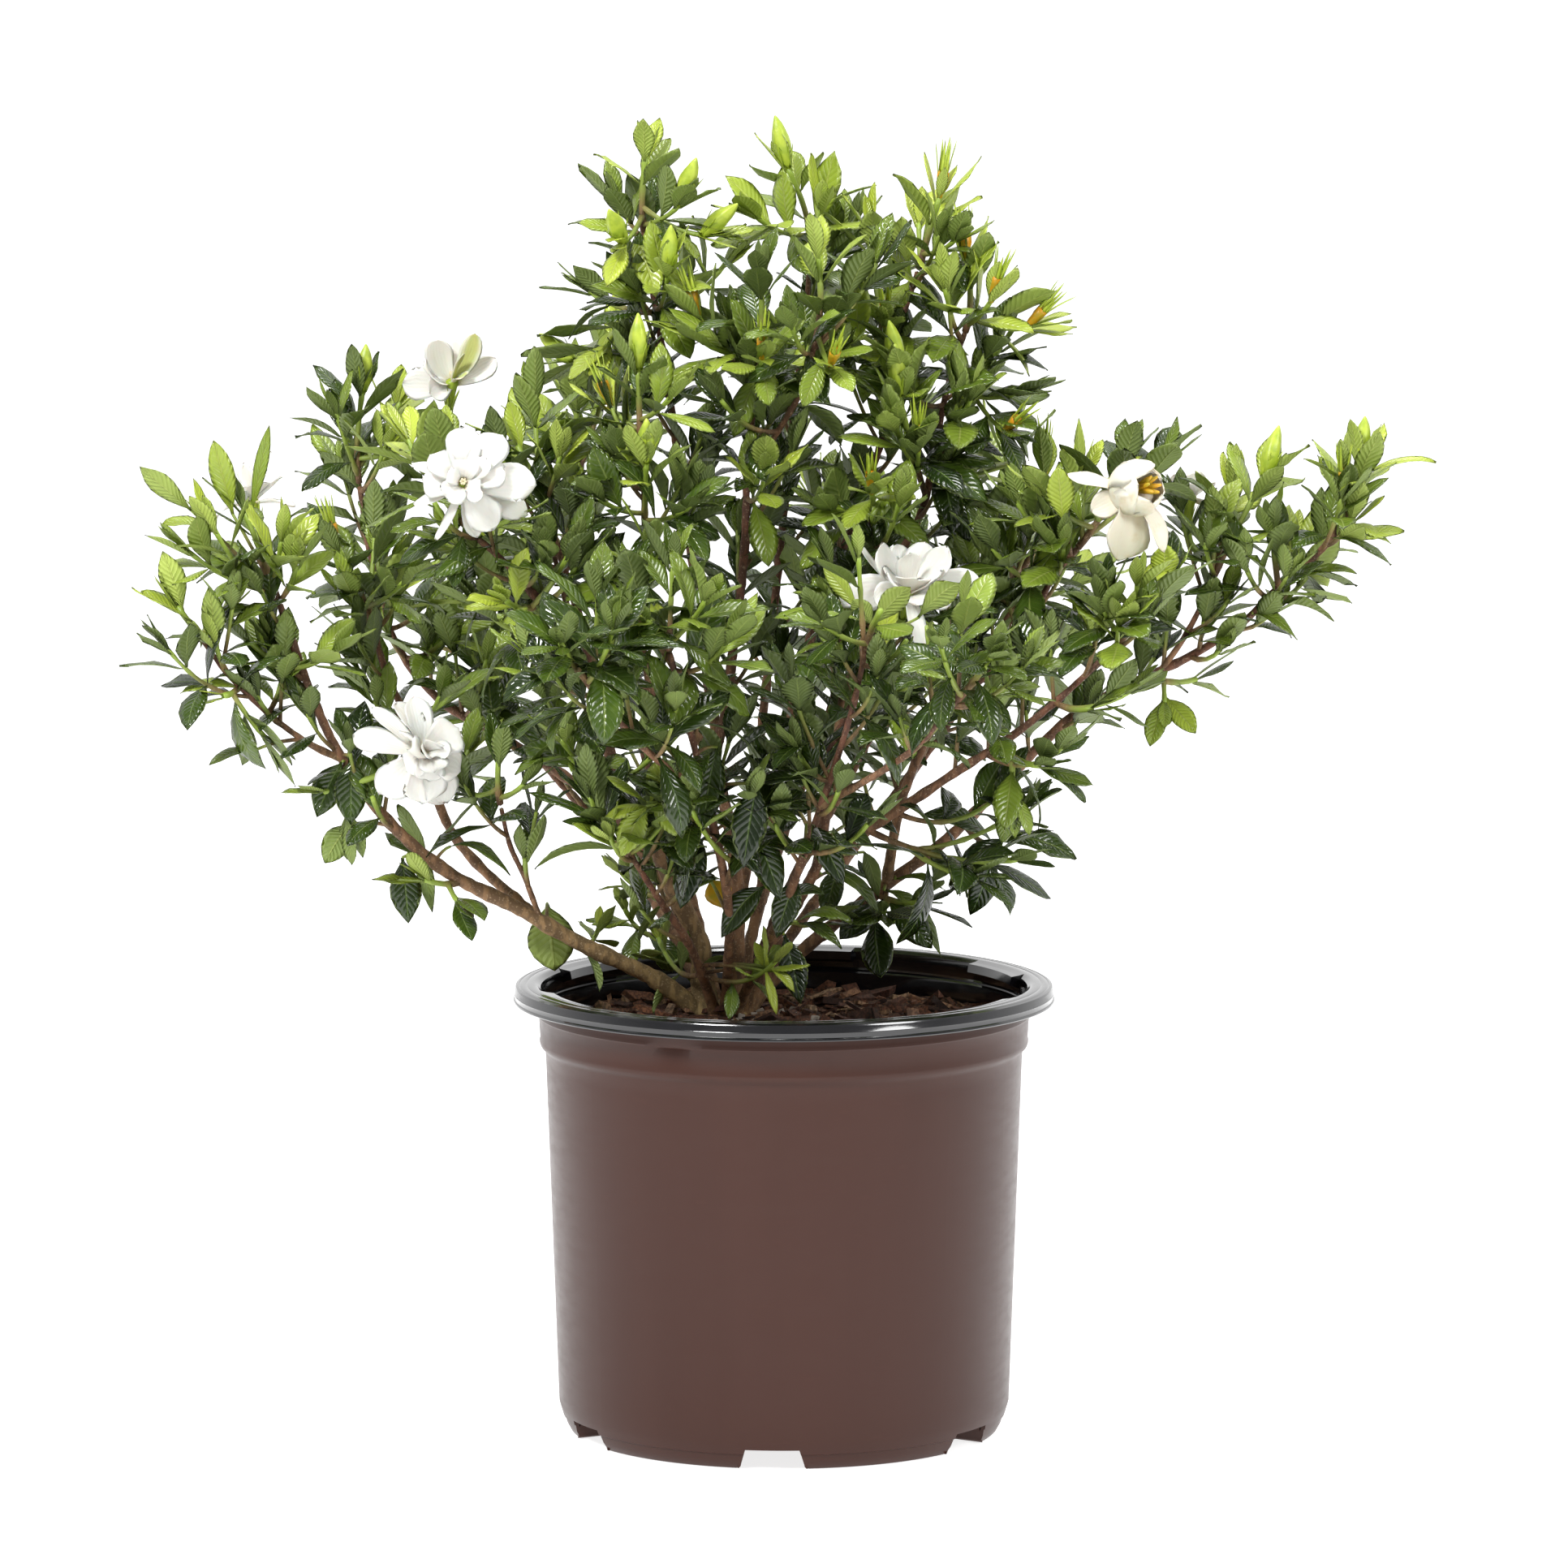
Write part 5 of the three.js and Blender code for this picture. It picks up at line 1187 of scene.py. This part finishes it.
def fill_limb(shape, limb, draw):
    """Short leafy shoots that turn up from the outer part of a limb"""
    line = limb_lines[limb]
    for distance in np.arange(FILL.get(limb, FILL_FROM) * line.length, line.length, FILL_STEP):
        start, along = line.at(distance), line.heading(distance)
        across = turned(squared(UP, along), along, draw.uniform(0, 2 * pi))
        reach = draw.uniform(*FILL_REACH)
        tip = start + unit(across * 0.8 + along * 0.5 + UP * 0.75) * reach
        side = shoot_line(start, tip, turn_up=0.3)
        stem(shape, side, "inner", draw)
        fresh = 0.5 * freshness(tip, draw)
        leafy(shape, side, fresh, draw, INNER_BARE, draw.uniform(0.8, 1.0), INNER_LEAF_SHEET)


def build_spray(number, name, finishes, stalks):
    limb, place, tips, more = SPRAYS[name]
    shape = Shape()
    draw = np.random.default_rng(1000 + number)
    first = seen(tips[0][:3])
    if place is END:
        limb_line = limb_lines[limb]
        main = shoot_line(limb_line.at(limb_line.length), first, limb_line.heading(limb_line.length))
        foot = 0
    else:
        main = shoot_line(limb_place(limb, place), first)
        foot = GREEN_FOOT * main.length
    stem(shape, main, "main", draw)
    forks = [(tip, None) for tip in tips[1:]] + ([(None, stalks[name])] if name in stalks else [])
    lines = [(main, tips[0][3:], foot + FORK_FIRST + FORK_STEP * len(forks))]
    for k, (tip, stalk) in enumerate(forks):
        start = main.at(foot + FORK_FIRST + FORK_STEP * k)
        if stalk:
            base, ahead = stalk
            side = bezier(start, base - ahead * 0.4 * np.linalg.norm(base - start), base)
            stem(shape, side, "stalk", draw)
        else:
            side = shoot_line(start, seen(tip[:3]))
            stem(shape, side, "side", draw)
            lines.append((side, tip[3:], SIDE_BARE))
    for tip in more:
        end = seen(tip[:3])
        side = shoot_line(nearest_limb(end), end, turn_up=0.34)
        stem(shape, side, "small", draw)
        lines.append((side, tip[3:], SIDE_BARE))
    for line, kind, lowest in lines:
        fresh, grown = freshness(line.at(line.length), draw), draw.uniform(0.85, 1.05)
        if kind and kind[0] == YOUNG:
            fresh, grown = YOUNG_FRESH, YOUNG_SIZE
        leafy(shape, line, fresh, draw, lowest, grown)
        if kind:
            top_of_shoot(shape, line, kind[0], draw)
    if place is END:
        fill_limb(shape, limb, draw)
    add_lone_leaves(shape, name, draw)
    shape.build(f"leaves_{name}", finishes, [f"spray_{name}"])


# The blooms

TUBE_LENGTH = 17

# Each bloom: the spray it grows on, its middle as seen, the way it faces, whether it is aged, and its
# petals: how far the tip is across, up and towards the eye from the middle, the width, how far the
# petal rises ahead on its way, and where it isn't nothing how far it bows to its left, its roll in
# degrees and how green it is outside
BLOOMS = {
    "bloom_left_upper": ("bloomLeft", (-172.5, 515, -104), (0.1, -0.95, 0.25), False, [
        (1, 29, -4, 20, 8), (21, 25, -2, 19, 7, 0, -8), (38.5, -2, -6, 21, 6, 2),
        (34, -18, -12, 15, 3, 0, 10), (16, -25, -2, 20, 8), (7, -30, -10, 11, 4),
        (-15, -30, -3, 9, 8, 5, 60), (-26, -11, 0, 9, 8, 4, 40), (-21, 1, 2, 20, 8, 0, 10),
        (-27, 10, -6, 8, 6, 0, 30), (-17, 15, 2, 16, 8, 0, 10), (22, 8, 3, 20, 9, 0, -10),
        (11, -4, 11, 13, 11, -4, 20), (-8, -8, 8, 15, 9), (3, 13, 8, 15, 8), (-7, 7, 9, 12, 8),
        (13, 13, 4, 15, 9, 0, -20)]),
    "bloom_left_lower": ("leftHang", (-194, 369, -86), (0.35, -0.85, 0.3), False, [
        (-15, 26, -4, 15, 8, -3, 20), (-28, 23, -10, 9, 4), (-6, 29, -6, 16, 6), (18, 13, -2, 22, 8),
        (19, -10, -1, 21, 8), (11, -28, -8, 22, 5), (-2, -27, 0, 25, 10), (-24, -23, -6, 21, 6),
        (-38, 8, -6, 16, 5, 0, 10), (-8, 3, 12, 15, 11, 0, 20), (-13, 12, 4, 9, 8, 0, 60),
        (6, -9, 11, 17, 10), (7, 6, 11, 14, 10, 0, -20), (-9, -9, 8, 16, 9, 0, 10), (10, -2, 9, 14, 9, 5),
        (0, 2, 15, 9, 9), (2, -14, 8, 18, 10)]),
    "bloom_right_centre": ("underBloom", (67, 456, -60), (0.2, -0.45, 0.87), False, [
        (-14, 27, 4, 23, -3, 6), (-28, 30, 0, 5, 0, 6), (1, 22, 10, 15, 0), (20, 25, 3, 20, -3, -5),
        (-32, -2, 14, 20, 4, -3, -55), (-44, -5, 0, 13, 4, -2, -50), (38, 5, 0, 15, 3, 3, 50),
        (8, -32, 12, 11, 14, -5), (-18, -4, 16, 18, 4, 0, -50), (4, 9, 15, 22, 2),
        (-12, 12, 13, 20, 2, 3), (9, 26, -8, 17, -4), (-6, 25, -8, 17, -4), (17, 13, 12, 18, 2, -3),
        (24, 0, 12, 17, 3, -3, 50), (4, -5, 18, 18, 4)]),
    "bloom_right_aged": ("rightGroup", (186, 511, -50), (0.72, -0.66, 0.24), True, [
        (-34, 9, 2, 12, 6, 3, 30), (-21, -11, 4, 15, 6, 0, 20), (-7, -37, 8, 32, 6),
        (18, -33, 2, 14, 6, 2), (12, -4, 0, 9, 3)]),
    "bloom_left_opening": ("backLeftTop", (-178, 570, 118), (0.1, -0.2, 0.97), False, [
        (-27, -1, 6, 19, 3, 4, -55, 0.05), (-8, 23, 4, 17, -2, 4, -60, 0.3),
        (13, 26, 2, 12, -2, -4, 60, 0.75), (24, 12, -6, 13, -1, -3, 50, 0.05),
        (7, 16, 9, 6, -2, 2, 20, 0.9), (2, 22, -6, 17, -5, 0, 0, 0.05), (-14, 12, 8, 16, -3, 5, -20, 0.1),
        (-12, -6, 10, 15, 3, 2, -50, 0.1), (8, 4, 9, 10, 2, 0, 20, 0.7)]),
    "bloom_far_left": ("leftEnd", (-286, 506, 6), (-0.2, 0.1, 0.97), False, [
        (-22, -10, 4, 19, 4), (-4, 20, 2, 18, -4), (10, 26, -2, 20, -4, 0, 10), (-14, 12, 0, 16, -2),
        (24, -3, 4, 17, 3), (6, 10, 8, 18, 0), (16, 12, -8, 17, 0), (-12, 4, 8, 17, 2)]),
    "bloom_far_right": ("riseTop", (218, 508, 78), (0.1, 0.3, 0.95), False, [
        (5, 14, 2, 15, -3), (-8, 12, 0, 14, -3), (20, -18, 0, 15, 6, 0, 0, 0.4), (-16, -2, 2, 14, 4),
        (14, 6, -6, 13, 2), (0, 8, 6, 13, -2)]),
}
PETAL, PETAL_BACK, FLOWER_TUBE = 0, 1, 2
PETAL_THICK = 0.55
TOWARD = np.array([0.0, -1.0, 0.0])

# The ageing bloom's inner petals close to a cup: how wide it is, how far before the middle it
# lies, from how far up it they show, and for each petal its turn round the flower and how far over
# the cup it reaches, all in degrees
HOOD = {"radius": 15.5, "ahead": 5, "foot": 12,
        "petals": [(20, 152), (85, 134), (150, 140), (215, 148), (285, 150), (335, 148)]}


def petal(shape, draw, root, tip, ahead, width, rise, bow=0, roll=0, green=0):
    """A waxy petal: narrow at the throat, broad and blunt at the tip, with a rolled, uneven edge"""
    v, u = PETAL_SHEET.rows, PETAL_SHEET.columns
    way = unit(tip - root)
    left = unit(np.cross(TOWARD, tip - root))
    bend = root + (tip - root) * 0.5 + ahead * rise + left * bow
    along = arc_heading(root, bend, tip, v)
    face = squared(ahead, way) if abs(np.dot(ahead, way)) < 0.95 else squared(UP, ahead)
    sides = np.cross(along, turned(face, way, radians(roll)))
    sides = sides / np.linalg.norm(sides, axis=1, keepdims=True)
    ups = np.cross(sides, along)
    flare = 0.36 + 0.64 * np.sin(np.clip(v / 0.76, 0, 1) * pi / 2) ** 1.3
    blunt = draw.uniform(0.5, 0.85)
    half = width / 2 * flare * np.clip(1 - np.clip((v - 0.66) / 0.34, 0, 1) ** 2.3, 0, 1) ** blunt + 0.2
    cup, rolled = draw.uniform(0.3, 0.6), draw.uniform(0.1, 0.45)
    lift = half * (cup * u ** 2 * (1 - 0.7 * v) - rolled * np.abs(u) ** 3 * v ** 3)
    waves, phase = draw.uniform(0.8, 1.8), draw.uniform(0, 6.3)
    ripple = np.sin(2 * pi * waves * v + phase + 1.9 * u)
    lift = lift + width * 0.05 * ripple * np.abs(u) * v
    lift = lift + width * 0.03 * np.sin(3.1 * u + draw.uniform(0, 6.3)) * v
    draw_petal(shape, draw, arc(root, bend, tip, v), sides, ups, half, lift, green)


def draw_petal(shape, draw, spine, sides, ups, half, lift, green=0):
    PETAL_SHEET.draw(shape, spine, sides, ups, half, lift, PETAL_THICK + 0 * lift, (PETAL, PETAL_BACK),
                     (green, draw.uniform(), 0))


def hood(shape, centre, ahead, draw):
    """Petals that curl over one another to a cup with its mouth ahead"""
    v, u = PETAL_SHEET.rows, PETAL_SHEET.columns
    middle = centre + ahead * HOOD["ahead"]
    across = squared(UP, ahead)
    for layer, (turn, reach) in enumerate(HOOD["petals"]):
        radius = HOOD["radius"] * (1 - 0.035 * layer)
        out = turned(across, ahead, radians(turn))
        angle = radians(HOOD["foot"]) + radians(reach - HOOD["foot"]) * v
        spine = middle + radius * (out * np.sin(angle) - ahead * np.cos(angle))
        ups = (middle - spine) / radius
        along = out * np.cos(angle) + ahead * np.sin(angle)
        sides = np.cross(along, ups)
        tip = np.clip(1 - np.clip((v - 0.7) / 0.3, 0, 1) ** 2.4, 0, 1) ** 0.6
        half = radius * (0.3 + 0.66 * np.sin(pi * (0.1 + 0.62 * v))) * tip + 0.2
        lift = half ** 2 * u ** 2 / (1.9 * radius)
        lift = lift + 0.6 * np.sin(5 * u + draw.uniform(0, 6.3)) * v ** 3
        draw_petal(shape, draw, spine, sides, ups, half, lift)


def bloom_stalk(name):
    _, middle, facing, *_ = BLOOMS[name]
    ahead = unit(np.array(facing, float))
    return seen(middle) - ahead * TUBE_LENGTH, ahead


def build_bloom(number, name, finishes):
    *_, aged, petals = BLOOMS[name]
    shape = Shape()
    draw = np.random.default_rng(3000 + number)
    base, ahead = bloom_stalk(name)
    centre = base + ahead * TUBE_LENGTH
    line = Line([base, centre])
    stations = np.array([0, 4, 9, 13, 15.5, 17])
    tube(shape, line, stations, [1.9, 2.4, 2.6, 3.2, 3.9, 3.6], 16, FLOWER_TUBE, 0.9, 0.5)
    lobes(shape, base, ahead, 6, 1.9, 14, 2.2, 0.28, 0.7, draw)
    for across, up, near, *form in petals:
        offset = np.array([across, 0.0, up]) + TOWARD * near
        petal(shape, draw, centre - ahead * 2 + unit(offset) * 1.5, centre + offset, ahead, *form)
    if aged:
        hood(shape, centre, ahead, draw)
    grown, skin, tone = (3.2, FLOWER_TUBE, 0.2) if aged else (1, PETAL, 0)
    for k in range(6):
        out = turned(squared(UP, ahead), ahead, k * pi / 3 + 0.4)
        spine = Line([centre, centre + (ahead * 4 + out) * grown,
                      centre + (ahead * 5.5 + out * 1.5) * grown])
        thick = np.array([0.5, 0.7, 0.9, 0.9, 0.4]) * sqrt(grown)
        tube(shape, spine, np.linspace(0, spine.length, 5), thick, 6, skin, tone, tone)
    shape.build(name.replace("bloom", "flower"), finishes, [name])


# The studio

# The lights look at this place, in metres
LIT = (0, 0, 0.35)


def add_light(name, place, size, power):
    data = bpy.data.lights.new(name, "AREA")
    data.shape = "DISK"
    data.size = size
    data.energy = power
    light = put(name, data)
    light.location = place
    light.rotation_euler = (Vector(LIT) - light.location).to_track_quat("-Z", "Y").to_euler()


def light_world():
    """White all round to the eye, and a soft light that is dimmer from the side of the camera"""
    world = bpy.data.worlds.new("studio")
    bpy.context.scene.world = world
    made = Nodes(world)
    way = made.add("ShaderNodeTexCoord").outputs["Generated"]
    ahead = made.add("ShaderNodeSeparateXYZ", n0=way).outputs["Y"]
    to_camera = made.add("ShaderNodeLightPath").outputs["Is Camera Ray"]
    strength = made.math("MAXIMUM", to_camera, made.spread(ahead, -0.7, 0.6, 0.3, 1.0))
    made.feed(made.nodes["Background"], Color=(1.0, 1.0, 1.0, 1.0), Strength=strength)


def build_studio():
    light_world()
    bpy.ops.mesh.primitive_circle_add(vertices=64, radius=40, fill_type="NGON", location=(0, 0, -0.0003))
    floor = bpy.context.object
    floor.name = "studio_floor"
    paper = Finish("paper", Roughness=0.9, Base_Color=(0.55, 0.55, 0.55, 1),
                   Emission_Color=(1, 1, 1, 1), Emission_Strength=0.8)
    floor.data.materials.append(paper.material)
    add_light("key", (-1.3, -1.9, 2.3), size=0.8, power=84)
    add_light("fill", (1.9, -1.6, 1.7), size=1.0, power=36)
    add_light("top", (0.3, 0.2, 2.8), size=1.2, power=46)
    bpy.context.scene.view_settings.view_transform = "Standard"
    bpy.context.scene.view_settings.look = "None"


def build_plant():
    draw_limbs()
    stem_look, bud_look = stem_finish(), bud_finish()
    green = [*leaf_finishes(), stem_look, bud_look]
    build_wood(stem_look)
    stalks = {plan[0]: bloom_stalk(name) for name, plan in BLOOMS.items()}
    for number, name in enumerate(SPRAYS):
        build_spray(number, name, green, stalks)
    fresh_petal, aged_petal = petal_finish("petal"), petal_finish("aged_petal", aged=True)
    for number, (name, plan) in enumerate(BLOOMS.items()):
        look = aged_petal if plan[3] else fresh_petal
        build_bloom(number, name, [look, look, bud_look, bud_look])


build_studio()
build_pot([
    plastic_finish("pot_inside", (12, 12, 15), (26, 26, 31), roughness=0.12, gloss=0.5, coat=0.65),
    plastic_finish("pot_outside", (58, 30, 21), (65, 36, 27), roughness=0.3, gloss=0.3, coat=0.0),
])
build_soil(soil_finish())
build_plant()
